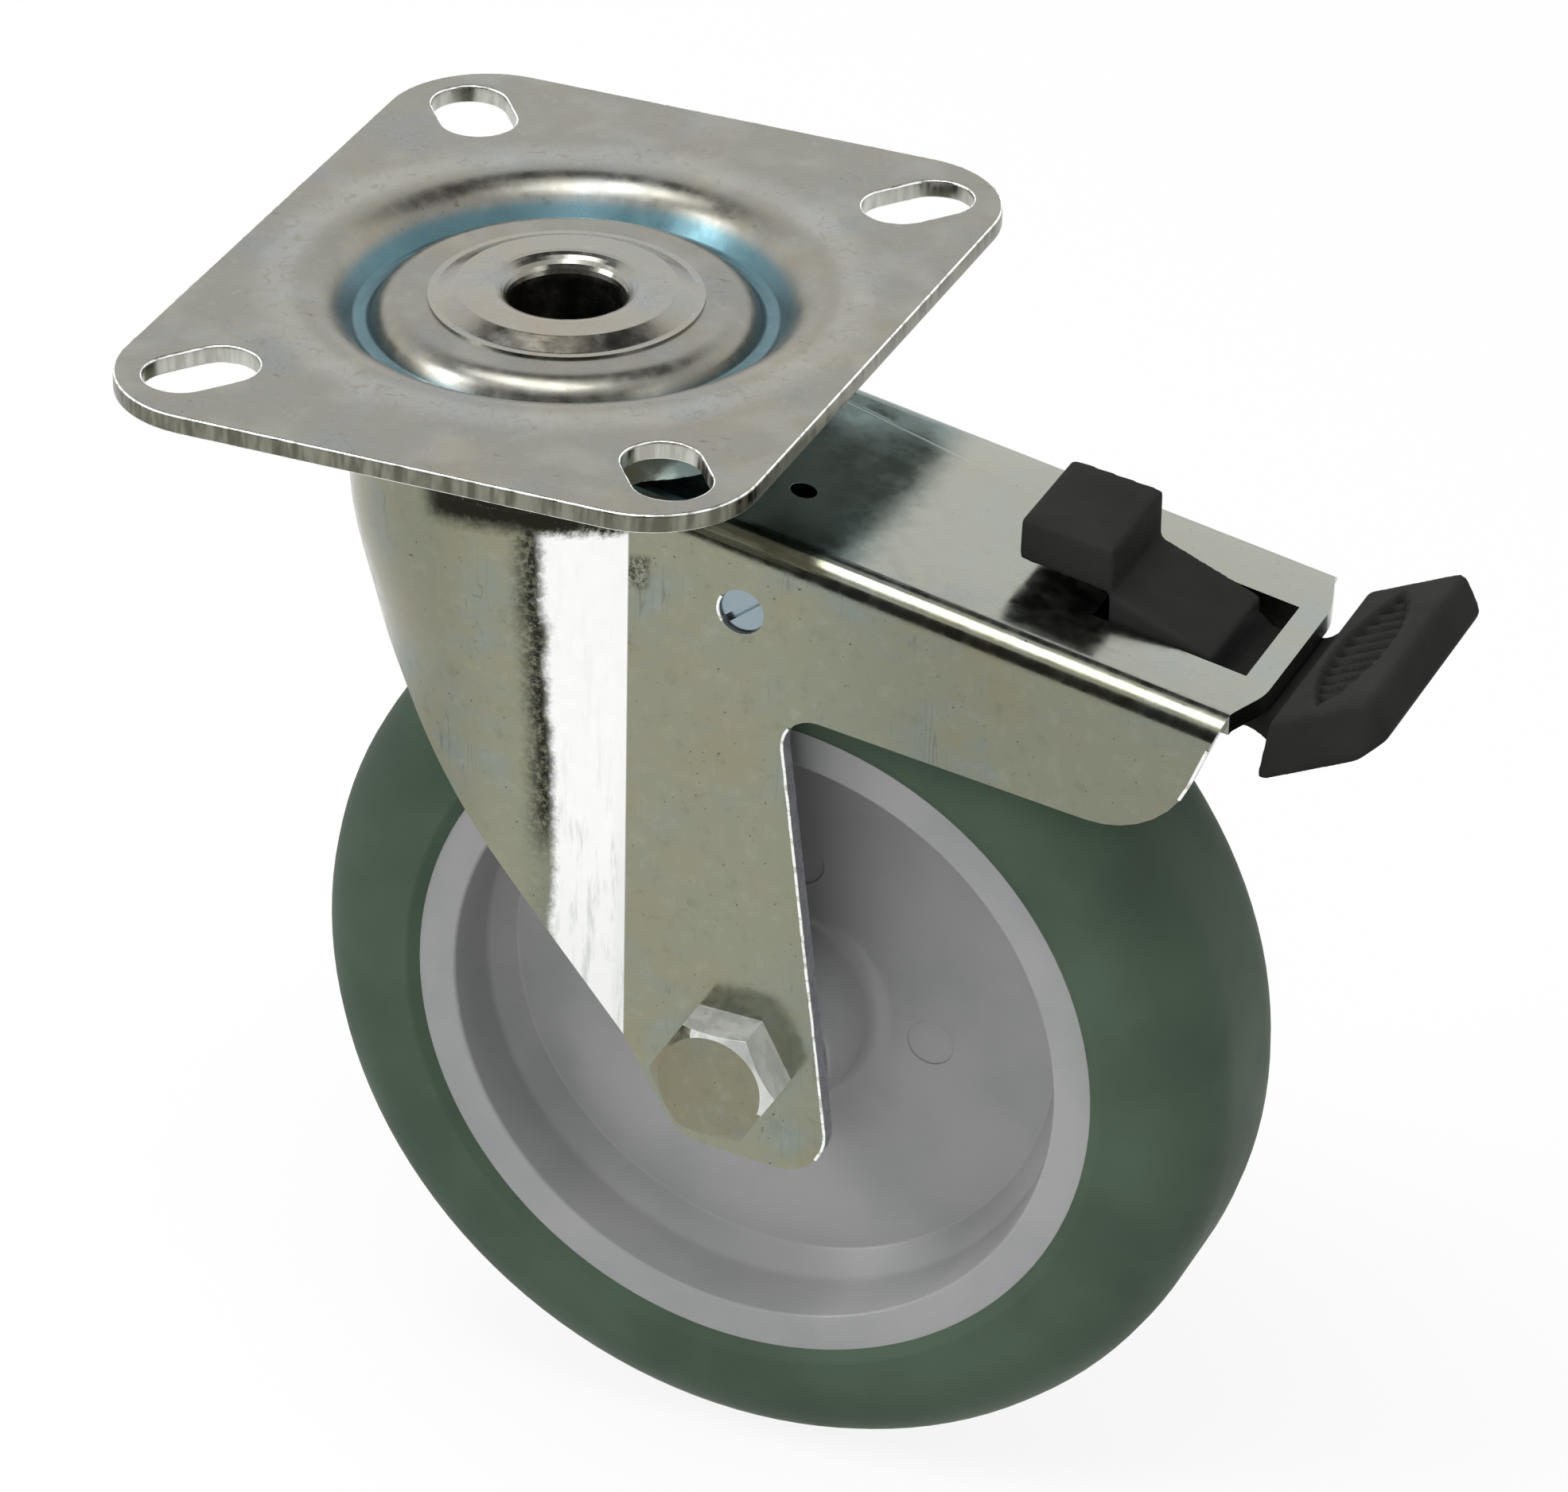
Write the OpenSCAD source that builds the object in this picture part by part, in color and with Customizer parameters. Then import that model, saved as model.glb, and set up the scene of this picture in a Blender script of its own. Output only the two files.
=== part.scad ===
// Braked swivel castor with a plate fixing and a total lock.
// Millimetres. The origin is the centre of the plate's top face, on the swivel axis.
// +Z points out of the plate, +X towards the brake pedal, and the wheel turns about Y.

/* [Top plate] */
// Size of the plate along X
plate_x = 84.6; // [80:0.2:100]
// Size of the plate along Y
plate_y = 104.4; // [100:0.2:120]
// Thickness of the plate's sheet
plate_t = 2.5; // [2.2:0.1:3]
// Corner radius of the plate
plate_corner_r = 14; // [8:1:16]
// From the plate's edge to a slot's centre, along X
slot_edge_x = 11.2; // [10:0.1:13]
// From the plate's edge to a slot's centre, along Y
slot_edge_y = 12.4; // [11:0.1:14]
// Width of a slot, for an 8 mm bolt
slot_w = 9.9; // [8.5:0.1:10.5]
// Length of a slot, end to end
slot_l = 15; // [12:0.5:16]
// Depth of the plate's centre below its rim
centre_drop = 1.6; // [1.2:0.1:2.4]
// Depth of the pressed ring groove below the rim
groove_drop = 5; // [4:0.1:6]
// Radius of the ring groove's middle
groove_r = 25.7; // [25.2:0.1:26.5]
// Width of the groove's flat floor
groove_floor_w = 3; // [2.8:0.1:4]

/* [Swivel head] */
// Diameter of an upper ball
ball_d = 6; // [5.4:0.1:6.2]
// Radius of the upper ring of balls
ball_ring_r = 18.2; // [17.9:0.1:18.4]
// Number of upper balls
ball_count = 18; // [12:1:18]
// Diameter of a lower ball
low_ball_d = 5; // [4.4:0.1:5.2]
// Radius of the lower ring of balls
low_ring_r = 15.6; // [15.3:0.1:15.8]
// Number of lower balls
low_ball_count = 18; // [12:1:18]
// Radius of the hole through the hollow rivet
rivet_bore_r = 7.3; // [6:0.1:8]
// Radius of the rivet's shank
rivet_shank_r = 10.8; // [10:0.1:11.2]
// Radius of the rivet's top flange
rivet_flange_r = 17.4; // [16.5:0.1:19]
// Thickness of the rivet's flared foot
rivet_foot_t = 1.5; // [1:0.1:2]
// Thickness of the lower race
race_t = 2; // [1.6:0.1:2.4]
// Outer radius of the lower race's rim
race_r = 20.4; // [20:0.1:21]
// Outer radius of the toothed lock ring
lock_r = 20.6; // [20:0.1:21.5]
// Thickness of the lock ring
lock_t = 2.7; // [2.5:0.1:3.2]
// Number of slots in the lock ring
lock_slots = 24; // [12:12:24]
// Width of a slot in the lock ring
lock_slot_w = 2.8; // [2.6:0.1:3]
// Depth of a slot in the lock ring
lock_slot_d = 1.9; // [1.7:0.1:2.2]

/* [Fork] */
// Thickness of the fork's sheet
fork_t = 2.5; // [2.2:0.1:3]
// Width over the fork's legs and tail arm
fork_w = 44; // [43:0.5:46]
// Outer radius of the crown
crown_r = 27.3; // [27:0.1:28.5]
// How far the skirt's round front stands out past the flat legs
skirt_bulge = 0.6; // [0.3:0.1:1.5]
// Where the skirt meets the flat leg
crease_x = 18.5; // [18:0.1:20]
// Where the skirt's straight flank ends
flank_x = 7.5; // [6:0.5:9]
// Depth of the skirt's free edge at the very front
skirt_front_drop = 38.5; // [34:0.5:42]
// Slope of the tail arm's top in degrees
arm_slope = 10.5; // [8:0.5:11]
// Level of the tail arm's top, carried forward to the swivel axis
arm_drop = 11; // [10.5:0.1:12]
// Reach of the tail arm behind the swivel axis
arm_end_x = 98.7; // [96:0.1:101]
// Outer bend radius along the tail arm's edges
arm_roll_r = 4; // [3.2:0.1:5]
// Depth of the arm's lower edge at its rear, from the plate's top
arm_low_drop = 47.4; // [44:0.1:50]
// Half width of the window in the arm's top
window_half_w = 9.5; // [9:0.1:11]
// Front edge of the window
window_x0 = 75; // [73:0.1:76]
// Length of the window
window_l = 20.3; // [19:0.1:21]
// Diameter of the small drain hole in the arm's top
drain_d = 3.4; // [2:0.1:4]

/* [Wheel] */
// Radius of the tyre
wheel_r = 62.5; // [60:0.5:65]
// Width of the tyre
wheel_w = 32; // [30:0.5:33]
// Gap from the plate's top down to the top of the tyre
head_room = 31; // [30.5:0.1:33]
// How far the axle trails the swivel axis
axle_x = 33; // [30:0.5:36]
// Depth of the tyre from its tread to the rim
tyre_t = 16; // [13:0.5:18]
// How far the tyre stands out past the rim on each side
tyre_side = 1; // [0.5:0.1:2]
// Radius of the tyre's shoulders
shoulder_r = 10.5; // [6:0.1:11]
// Thickness of the rim at its face
rim_t = 5; // [4:0.1:6]
// Width of the slope from the rim's face down to the web
rim_slope_w = 3.9; // [3:0.1:6]
// Thickness of the web
web_t = 8; // [6:0.5:10]
// Outer radius of the hub
hub_r = 12.2; // [11.8:0.1:13.5]
// Depth of an ejector pin mark in the web
mark_d = 0.2; // [0.1:0.05:0.4]
// Diameter of an ejector pin mark
mark_w = 6.4; // [5:0.2:8]
// Distance of the ejector pin marks from the axle
mark_r = 20.5; // [19:0.1:24]

/* [Roller bearing] */
// Diameter of a roller
roller_d = 3; // [2.6:0.1:3.2]
// Length of the roller cage past each end of a roller
cage_end = 1.5; // [1:0.1:2.5]
// Number of rollers
roller_count = 10; // [8:1:10]
// Outer radius of the steel axle tube
tube_r = 6.2; // [6:0.1:6.5]
// Thickness of the roller cage
cage_t = 1.6; // [1.2:0.1:1.9]
// Outer radius of a bearing end cap's flange
cap_r = 10.6; // [10:0.1:11.5]
// Thickness of an end cap's flange
cap_t = 1; // [0.8:0.1:1.2]
// How far an end cap reaches into the hub
cap_in = 2.2; // [1.5:0.1:3]
// Gap between an end cap and the fork's leg
cap_gap = 0.5; // [0.3:0.1:1]

/* [Axle] */
// Diameter of the axle bolt
bolt_d = 10; // [9:0.5:10.5]
// Size across the flats of the bolt head and nut
hex_af = 15; // [14:0.5:17]
// Height of the bolt head
head_h = 6.4; // [5.5:0.1:7]
// Height of the self-locking nut
nut_h = 8; // [7:0.5:10]
// Height of the nut's collar round its locking ring
nut_collar_h = 2.2; // [1.6:0.1:3]
// How far the bolt's end stands out of the nut
bolt_tail = 1.6; // [0.8:0.2:4]

/* [Brake] */
// Pivot of the brake lever behind the swivel axis
pivot_x = 33.6; // [33:0.1:35]
// Depth of the brake lever's pivot
pivot_drop = 27.9; // [27.5:0.1:28.4]
// Diameter of a lever pin
lever_pin_d = 6; // [5:0.1:6.4]
// Swing of the brake lever in degrees from off to locked
lever_swing = 5; // [3.5:0.5:5]
// Swing of the pedal on the lever in degrees from off to locked
pedal_swing = 18; // [14:1:20]
// Thickness of the brake lever's sheet
lever_t = 2; // [1.6:0.1:2.2]
// Gap between the brake lever and each leg of the fork
lever_gap = 0.5; // [0.3:0.1:1]
// Pin of the pedal behind the swivel axis
rocker_x = 84; // [83:0.1:85]
// Depth of the pedal's pin
rocker_drop = 34.4; // [34:0.1:35]
// Diameter of the pedal's pin
rocker_pin_d = 5; // [4:0.1:5.4]
// Width of the brake shoe
shoe_w = 22; // [16:0.5:24]
// Gap left between the shoe and the tyre when the brake is on
shoe_gap = 0.35; // [0.3:0.05:0.6]
// Gap between the pedal's body and each flange of the lever
rocker_gap = 0.6; // [0.3:0.1:1.5]
// Gap between the release block and each side of the window
block_gap = 0.9; // [0.5:0.1:2]
// Width of the foot pedal
pedal_w = 36; // [32:0.5:40]
// Width of the neck between the arm's end and the foot pedal
neck_w = 21; // [18:0.5:26]
// Rear reach of the foot pedal behind the swivel axis
pedal_end_x = 116.8; // [112:0.1:120]
// Length of the ribbed hollow in the pedal
grip_l = 30; // [24:0.5:31]
// Width of the ribbed hollow in the pedal
grip_w = 6.2; // [5:0.1:7]
// Depth of the ribbed hollow in the pedal
grip_d = 1.1; // [0.8:0.1:1.6]
// Distance between the ribs in the pedal's hollow
grip_pitch = 2.7; // [2.2:0.1:3.2]
// Thickness of the return spring's strip
spring_t = 0.8; // [0.6:0.1:1]
// Width of the return spring's strip
spring_w = 10; // [8:0.5:12]
// Diameter of the rivets on the brake lever
small_rivet_d = 4; // [3:0.2:4.4]

/* [Hidden] */

$fn = 64;
// Segments in a drawn corner or bend
bend_n = 7;
// Extra length of a cut past the face that it opens
past = 1;
// Play between rolling pieces and their tracks
play = 0.05;
// Radial clearance of a pin in the piece that turns on it
pin_play = 0.07;
// Gap between flat faces that pass each other
side_gap = 0.3;

zinc = [0.72, 0.73, 0.68];
bright_steel = [0.8, 0.81, 0.82];
dark_steel = [0.45, 0.46, 0.47];
grey_plastic = [0.6, 0.6, 0.61];
tyre_green = [0.3, 0.35, 0.31];
black_plastic = [0.13, 0.13, 0.13];
nylon = [0.2, 0.35, 0.6];

// Levels of the swivel stack, from the plate down
centre_under_z = -centre_drop - plate_t;
ball_z = centre_under_z - play - ball_d / 2;
crown_top_z = ball_z - ball_d / 2 - play;
crown_under_z = crown_top_z - fork_t;
low_ball_z = crown_under_z - play - low_ball_d / 2;
race_top_z = low_ball_z - low_ball_d / 2 - play;
lock_top_z = race_top_z - race_t;
lock_under_z = lock_top_z - lock_t;
rivet_under_z = lock_under_z - rivet_foot_t;
crown_hole_r = rivet_shank_r + 1.5;

// Slots, skirt, wheel and brake take their places from the plate, the fork's width and the tyre
slot_span_x = plate_x - 2 * slot_edge_x;
slot_span_y = plate_y - 2 * slot_edge_y;
skirt_r = fork_w / 2 + skirt_bulge;
rim_r = wheel_r - tyre_t;
rim_in_r = rim_r - rim_t;
web_r = rim_in_r - rim_slope_w;
rim_w = wheel_w - 2 * tyre_side;
hub_l = fork_w - 2 * fork_t - 2 * cap_t - 2 * cap_gap;
cage_l = hub_l - 2 * cap_in - 2 * side_gap;
roller_l = cage_l - 2 * cage_end;
lever_w = fork_w - 2 * fork_t - 2 * lever_gap;
rocker_w = lever_w - 2 * lever_t - 2 * rocker_gap;
block_w = 2 * window_half_w - 2 * block_gap;

// Height of the crown's shoulder and of its straight wall
shoulder_h = 4.55;
crown_wall_h = 2;
skirt_top_z = crown_top_z - fork_t / 2 - shoulder_h - crown_wall_h;

// Axle and foot
axle_z = -head_room - wheel_r;
foot_front_z = axle_z + 0.3;
leg_y = fork_w / 2;
leg_in_y = leg_y - fork_t;

// Brake
pivot_z = -pivot_drop;
rocker_z = -rocker_drop;
flange_in_y = lever_w / 2 - lever_t;
window_x1 = window_x0 + window_l;

function unit(v) = v / norm(v);
function reversed(p) = [for (i = [len(p) - 1:-1:0]) p[i]];
function arc_points(c, r, a0, a1, n) =
    [for (i = [0:n]) let (a = a0 + (a1 - a0) * i / n) c + r * [cos(a), sin(a)]];
function turn_between(a0, a1) = let (d = a1 - a0) d > 180 ? d - 360 : d < -180 ? d + 360 : d;

// Points that round the corner b between the points a and c
function corner(a, b, c, r) =
    r <= 0 ? [b] :
    let (
        u = unit(a - b),
        v = unit(c - b),
        half = acos(u * v) / 2,
        m = b + unit(u + v) * r / sin(half),
        p = b + u * r / tan(half) - m,
        q = b + v * r / tan(half) - m,
        a0 = atan2(p[1], p[0]),
        a1 = atan2(q[1], q[0])
    )
    arc_points(m, r, a0, a0 + turn_between(a0, a1), bend_n);

// Closed outline with one radius for each corner
function rounded(p, r) =
    let (n = len(p))
    [for (i = [0:n - 1]) each corner(p[(i + n - 1) % n], p[i], p[(i + 1) % n], r[i])];

// One side of a bent sheet whose middle line is p, at a distance s to the left
function sheet_side(p, r, s) =
    let (
        k = len(p) - 1,
        d = [for (i = [0:k - 1]) unit(p[i + 1] - p[i])],
        before = [for (i = [0:k]) d[max(i - 1, 0)]],
        after = [for (i = [0:k]) d[min(i, k - 1)]],
        q = [for (i = [0:k])
            let (
                n0 = [-before[i][1], before[i][0]],
                n1 = [-after[i][1], after[i][0]]
            )
            p[i] + (n0 + n1) * s / (1 + n0 * n1)]
    )
    [for (i = [0:k])
        let (turn = before[i][0] * after[i][1] - before[i][1] * after[i][0])
        each (i == 0 || i == k) ? [q[i]] : corner(q[i - 1], q[i], q[i + 1], r[i] - s * sign(turn))];

// Closed outline of a bent sheet of thickness t, from its middle line and bend radii
function sheet(p, r, t) = concat(sheet_side(p, r, t / 2), reversed(sheet_side(p, r, -t / 2)));

// A flat shape drawn in X and Z, made w thick along Y about the plane y
module along_y(w, y = 0)
    translate([0, y, 0]) rotate([90, 0, 0]) linear_extrude(w, center = true) children();

// A round piece whose axis is parallel to Y, through x and z
module about_y(x, z)
    translate([x, 0, z]) rotate([90, 0, 0]) children();

module ring_of(n, r)
    for (i = [0:n - 1]) rotate(i * 360 / n) translate([r, 0, 0]) children();

// Top plate

module plate_outline() {
    square([plate_x - 2 * plate_corner_r, plate_y], center = true);
    square([plate_x, plate_y - 2 * plate_corner_r], center = true);
    for (sx = [-1, 1], sy = [-1, 1])
        translate([sx * (plate_x / 2 - plate_corner_r), sy * (plate_y / 2 - plate_corner_r)])
            circle(plate_corner_r);
}

module plate_slot(sx, sy)
    translate([sx * slot_span_x / 2, sy * slot_span_y / 2])
        rotate(atan2(sy * slot_span_y, sx * slot_span_x)) {
            square([slot_l - slot_w, slot_w], center = true);
            for (e = [-1, 1]) translate([e * (slot_l - slot_w) / 2, 0]) circle(slot_w / 2);
        }

// Middle line of the dished centre, from the rivet hole out to the flat rim
dish_in_r = rivet_shank_r + play;
dish_floor_z = -groove_drop - plate_t / 2;
dish_centre_z = -centre_drop - plate_t / 2;
dish_rim_z = -plate_t / 2;
dish_wall_r = groove_r - groove_floor_w / 2;
dish_edge_r = groove_r + groove_floor_w / 2 + 4;
dish_out_r = dish_edge_r + 4.4;
dish_line = [[dish_in_r, dish_centre_z], [dish_wall_r - 2, dish_centre_z],
             [dish_wall_r, dish_floor_z], [dish_wall_r + groove_floor_w, dish_floor_z],
             [dish_edge_r, dish_rim_z], [dish_out_r, dish_rim_z]];
dish_bends = [0, 2.6, 2.2, 2.5, 4.5, 0];

module top_plate()
    color(zinc) {
        translate([0, 0, -plate_t]) linear_extrude(plate_t) difference() {
            plate_outline();
            circle(dish_out_r - play);
            for (sx = [-1, 1], sy = [-1, 1]) plate_slot(sx, sy);
        }
        rotate_extrude() polygon(sheet(dish_line, dish_bends, plate_t));
    }

// Hollow rivet that holds the swivel head together
boss_z = -0.15;
boss_r = 13.9;
flange_z = -centre_drop + 0.3;
rivet_foot_r = rivet_shank_r + 2.2;
rivet_line = [[rivet_bore_r, boss_z], [boss_r, boss_z], [rivet_flange_r - 0.9, flange_z],
              [rivet_flange_r, flange_z], [rivet_flange_r, -centre_drop],
              [rivet_shank_r, -centre_drop], [rivet_shank_r, lock_under_z],
              [rivet_foot_r, lock_under_z], [rivet_foot_r, rivet_under_z],
              [rivet_bore_r, rivet_under_z]];
rivet_rounds = [2.8, 0.6, 0.8, 0, 0, 0, 0, 0, 1, 1.2];

module king_rivet()
    color(zinc) rotate_extrude() polygon(rounded(rivet_line, rivet_rounds));

// Pressed cup that carries the lower balls
race_line = [[rivet_shank_r, race_top_z - race_t / 2], [race_r - race_t / 2 - 1, race_top_z - race_t / 2],
             [race_r - race_t / 2, race_top_z + low_ball_d / 2]];

module lower_race()
    color(dark_steel) rotate_extrude() polygon(sheet(race_line, [0, 1.6, 0], race_t));

// Ring whose radial slots take the teeth of the brake lever
module lock_ring()
    color(dark_steel) difference() {
        translate([0, 0, lock_under_z]) cylinder(h = lock_t, r = lock_r);
        translate([0, 0, lock_under_z - past]) cylinder(h = lock_t + 2 * past, r = rivet_shank_r);
        ring_of(lock_slots, lock_r)
            translate([-lock_r + rivet_foot_r + 1.5, -lock_slot_w / 2, lock_under_z - past])
                cube([lock_r, lock_slot_w, lock_slot_d + past]);
    }

module upper_balls()
    color(bright_steel) ring_of(ball_count, ball_ring_r) translate([0, 0, ball_z]) sphere(d = ball_d);

module lower_balls()
    color(bright_steel) ring_of(low_ball_count, low_ring_r)
        translate([0, 0, low_ball_z]) sphere(d = low_ball_d);

// Fork, drawn from one sheet

// Level of the arm's top at a distance x behind the swivel axis, and of its underside
function arm_top(x) = -arm_drop - x * tan(arm_slope);
function arm_under(x) = arm_top(x) - fork_t / cos(arm_slope);

// Free edge of the skirt, a straight cut seen from the side
skirt_edge_slope = (foot_front_z + skirt_front_drop) / (crease_x + crown_r - 2);
function skirt_edge(x) = foot_front_z + (x - crease_x) * skirt_edge_slope;

// Outer radius of the skirt at a level z, which eases from the crown to the legs
ease_top_z = skirt_top_z - 7;
ease_h = 28;
function eased(t) = let (u = min(max(t, 0), 1)) u * u * (3 - 2 * u);
function skirt_out(z) = crown_r + (skirt_r - crown_r) * eased((ease_top_z - z) / ease_h);

// Half width of the skirt where the flank ends, and the plan of the outer or inner face.
// The plan starts at the front and runs round one side to the crease.
nose_n = 20;
flank_n = 3;
function flank_y(z, inset) =
    let (r = skirt_out(z))
    leg_y + 0.5 + (r - skirt_r) * (sqrt(crown_r * crown_r - flank_x * flank_x) - leg_y - 0.5)
    / (crown_r - skirt_r) - inset;
function plan_point(z, inset, i) =
    let (
        r = skirt_out(z) - inset,
        a = 90 * i / nose_n,
        f = (i - nose_n) / flank_n,
        yf = flank_y(z, inset)
    )
    i <= nose_n ? [-r * cos(a), r * sin(a)] :
    i <= nose_n + flank_n ? [flank_x * f, r + (yf - r) * f * f] :
    [crease_x, leg_y - inset];
side_n = nose_n + flank_n + 1;
skirt_rows = 9;

// The skirt runs up a little way inside the crown's wall, and is a hair thinner than it
lap_z = skirt_top_z + 1;
lap_inset = 0.03;

// The free edge follows the plan, so each column of points ends on it
function column_x(i) = i <= nose_n ? -(skirt_r + 1.5) * cos(90 * i / nose_n) : plan_point(0, 0, i)[0];
function row_z(i, row) = lap_z + (skirt_edge(column_x(i)) - lap_z) * row / skirt_rows;
function skirt_point(j, row, inset) =
    let (i = abs(j), z = row_z(i, row), p = plan_point(z, inset, i))
    [p[0], j < 0 ? -p[1] : p[1], z];

skirt_columns = [for (j = [-side_n:side_n]) j];
column_count = len(skirt_columns);
row_count = skirt_rows + 1;
skirt_points = [for (inset = [fork_t - lap_inset, lap_inset], row = [0:skirt_rows], j = skirt_columns)
    skirt_point(j, row, inset)];
function skirt_index(layer, row, c) = (layer * row_count + row) * column_count + c;
skirt_faces = concat(
    [for (row = [0:skirt_rows - 1], c = [0:column_count - 2])
        each [[skirt_index(0, row, c), skirt_index(0, row, c + 1), skirt_index(0, row + 1, c + 1)],
              [skirt_index(0, row, c), skirt_index(0, row + 1, c + 1), skirt_index(0, row + 1, c)]]],
    [for (row = [0:skirt_rows - 1], c = [0:column_count - 2])
        each [[skirt_index(1, row, c), skirt_index(1, row + 1, c + 1), skirt_index(1, row, c + 1)],
              [skirt_index(1, row, c), skirt_index(1, row + 1, c), skirt_index(1, row + 1, c + 1)]]],
    [for (c = [0:column_count - 2])
        each [[skirt_index(0, 0, c), skirt_index(1, 0, c), skirt_index(1, 0, c + 1)],
              [skirt_index(0, 0, c), skirt_index(1, 0, c + 1), skirt_index(0, 0, c + 1)]]],
    [for (c = [0:column_count - 2])
        each [[skirt_index(0, skirt_rows, c), skirt_index(1, skirt_rows, c + 1),
               skirt_index(1, skirt_rows, c)],
              [skirt_index(0, skirt_rows, c), skirt_index(0, skirt_rows, c + 1),
               skirt_index(1, skirt_rows, c + 1)]]],
    [for (row = [0:skirt_rows - 1])
        each [[skirt_index(0, row, 0), skirt_index(0, row + 1, 0), skirt_index(1, row + 1, 0)],
              [skirt_index(0, row, 0), skirt_index(1, row + 1, 0), skirt_index(1, row, 0)]]],
    [for (row = [0:skirt_rows - 1], c = [column_count - 1])
        each [[skirt_index(0, row, c), skirt_index(1, row + 1, c), skirt_index(0, row + 1, c)],
              [skirt_index(0, row, c), skirt_index(1, row, c), skirt_index(1, row + 1, c)]]]
);

module skirt()
    polyhedron(skirt_points, skirt_faces);

// Crown: a flat ball track, a rounded shoulder and a short wall
crown_mid_r = crown_r - fork_t / 2;
crown_line = [[crown_hole_r, crown_top_z - fork_t / 2], [crown_mid_r - 2.85, crown_top_z - fork_t / 2],
              [crown_mid_r, crown_top_z - fork_t / 2 - shoulder_h], [crown_mid_r, skirt_top_z]];

module crown()
    rotate_extrude() polygon(sheet(crown_line, [0, 3.5, 4, 0], fork_t));

// Block along the sloping arm, whose two upper edges are rounded
module arm_block(x0, x1, half_w, top, r)
    translate([0, 0, -arm_drop]) rotate([0, arm_slope, 0]) translate([x0, 0, top])
        rotate([90, 0, 90]) linear_extrude(x1 - x0)
            polygon(rounded([[-half_w, -2 * wheel_r], [half_w, -2 * wheel_r], [half_w, 0], [-half_w, 0]],
                            [0, 0, r, r]));

// Side outline of the legs and the arm's walls
arm_x0 = 15;
foot_r = 14.3;
leg_back_x = 38.8;
leg_back_z = -40.6;
rear_run = 2.5;
arm_low_x = arm_end_x - 9.4;
side_outline = rounded(
    [[arm_x0, 0], [arm_x0, skirt_top_z], [crease_x, skirt_top_z], [crease_x, foot_front_z],
     [crease_x + 7.5, axle_z - foot_r + 1.4], [axle_x + foot_r, axle_z - foot_r - 0.3],
     [leg_back_x, leg_back_z], [arm_low_x, -arm_low_drop],
     [arm_low_x + arm_low_drop / rear_run, 0]],
    [0, 0, 0, 0, 7, 6, 4.2, 12.5, 0]);

// Plan of the arm's top sheet, whose rear corners are cut back to meet the walls
end_low_z = arm_under(arm_end_x);
end_half_w = leg_y - arm_roll_r + 0.9;
end_cut = 2.1;
end_plan = rounded(
    [[window_x0, -end_half_w], [arm_end_x - end_cut, -end_half_w], [arm_end_x, -end_half_w + 7],
     [arm_end_x, end_half_w - 7], [arm_end_x - end_cut, end_half_w], [window_x0, end_half_w]],
    [0, 0, 12, 12, 0, 0]);
drain_x = 35.6;
drain_y = -7.4;

module fork()
    color(zinc) difference() {
        union() {
            crown();
            skirt();
            difference() {
                intersection() {
                    arm_block(0, 2 * arm_end_x, leg_y, 0, arm_roll_r);
                    union() {
                        along_y(fork_w + 2 * past) polygon(side_outline);
                        translate([0, 0, -arm_low_drop]) linear_extrude(arm_low_drop) polygon(end_plan);
                    }
                }
                arm_block(-past, 2 * arm_end_x + past, leg_in_y, -fork_t, arm_roll_r - fork_t);
                translate([0, 0, arm_under(crown_r)]) cylinder(h = arm_drop, r = crown_r - fork_t);
            }
        }
        about_y(axle_x, axle_z) cylinder(h = fork_w + 2 * past, r = bolt_d / 2 + 0.1, center = true);
        about_y(pivot_x, pivot_z)
            cylinder(h = fork_w + 2 * past, r = lever_pin_d / 2 + play, center = true);
        translate([window_x0, -window_half_w, arm_under(window_x1) - past])
            cube([window_l, 2 * window_half_w, fork_t + window_l * tan(arm_slope) + 2 * past]);
        translate([drain_x, drain_y, arm_under(drain_x) - past])
            cylinder(h = fork_t + 2 * past, d = drain_d);
    }

// Axle

// Hexagon with its points turned as on the built castor, and rounded off by a cone at one end
hex_turn = -2;
module hex_prism(h)
    rotate(hex_turn) cylinder(h = h, d = hex_af / cos(30), $fn = 6);
module hex_head(h)
    intersection() {
        hex_prism(h);
        union() {
            cylinder(h = h - 1.2, d = hex_af * 1.2);
            translate([0, 0, h - 1.2]) cylinder(h = 1.2, d1 = hex_af * 1.2, d2 = hex_af * 0.94);
        }
    }

nut_end_y = leg_y + nut_h + bolt_tail;
module axle_bolt()
    color(bright_steel) {
        translate([axle_x, -leg_y, axle_z]) rotate([90, 0, 0]) hex_head(head_h);
        about_y(axle_x, axle_z) translate([0, 0, -nut_end_y])
            cylinder(h = nut_end_y + leg_y, d = bolt_d);
    }

nut_ring_t = 1.4;
module axle_nut()
    color(bright_steel) translate([axle_x, leg_y, axle_z]) rotate([-90, 0, 0]) difference() {
        union() {
            hex_head(nut_h - nut_collar_h);
            cylinder(h = nut_h, d = hex_af * 0.86);
        }
        translate([0, 0, -past]) cylinder(h = nut_h + 2 * past, d = bolt_d);
        translate([0, 0, nut_h - nut_ring_t - 0.5]) cylinder(h = nut_ring_t, d = bolt_d + 1.8);
    }

module nut_locking_ring()
    color(nylon) translate([axle_x, leg_y + nut_h - nut_ring_t - 0.5, axle_z]) rotate([-90, 0, 0])
        difference() {
            cylinder(h = nut_ring_t, d = bolt_d + 1.8);
            translate([0, 0, -past]) cylinder(h = nut_ring_t + 2 * past, d = bolt_d);
        }

module axle_tube()
    color(bright_steel) about_y(axle_x, axle_z) difference() {
        cylinder(h = 2 * leg_in_y, r = tube_r, center = true);
        cylinder(h = fork_w, r = bolt_d / 2 + play, center = true);
    }

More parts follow.
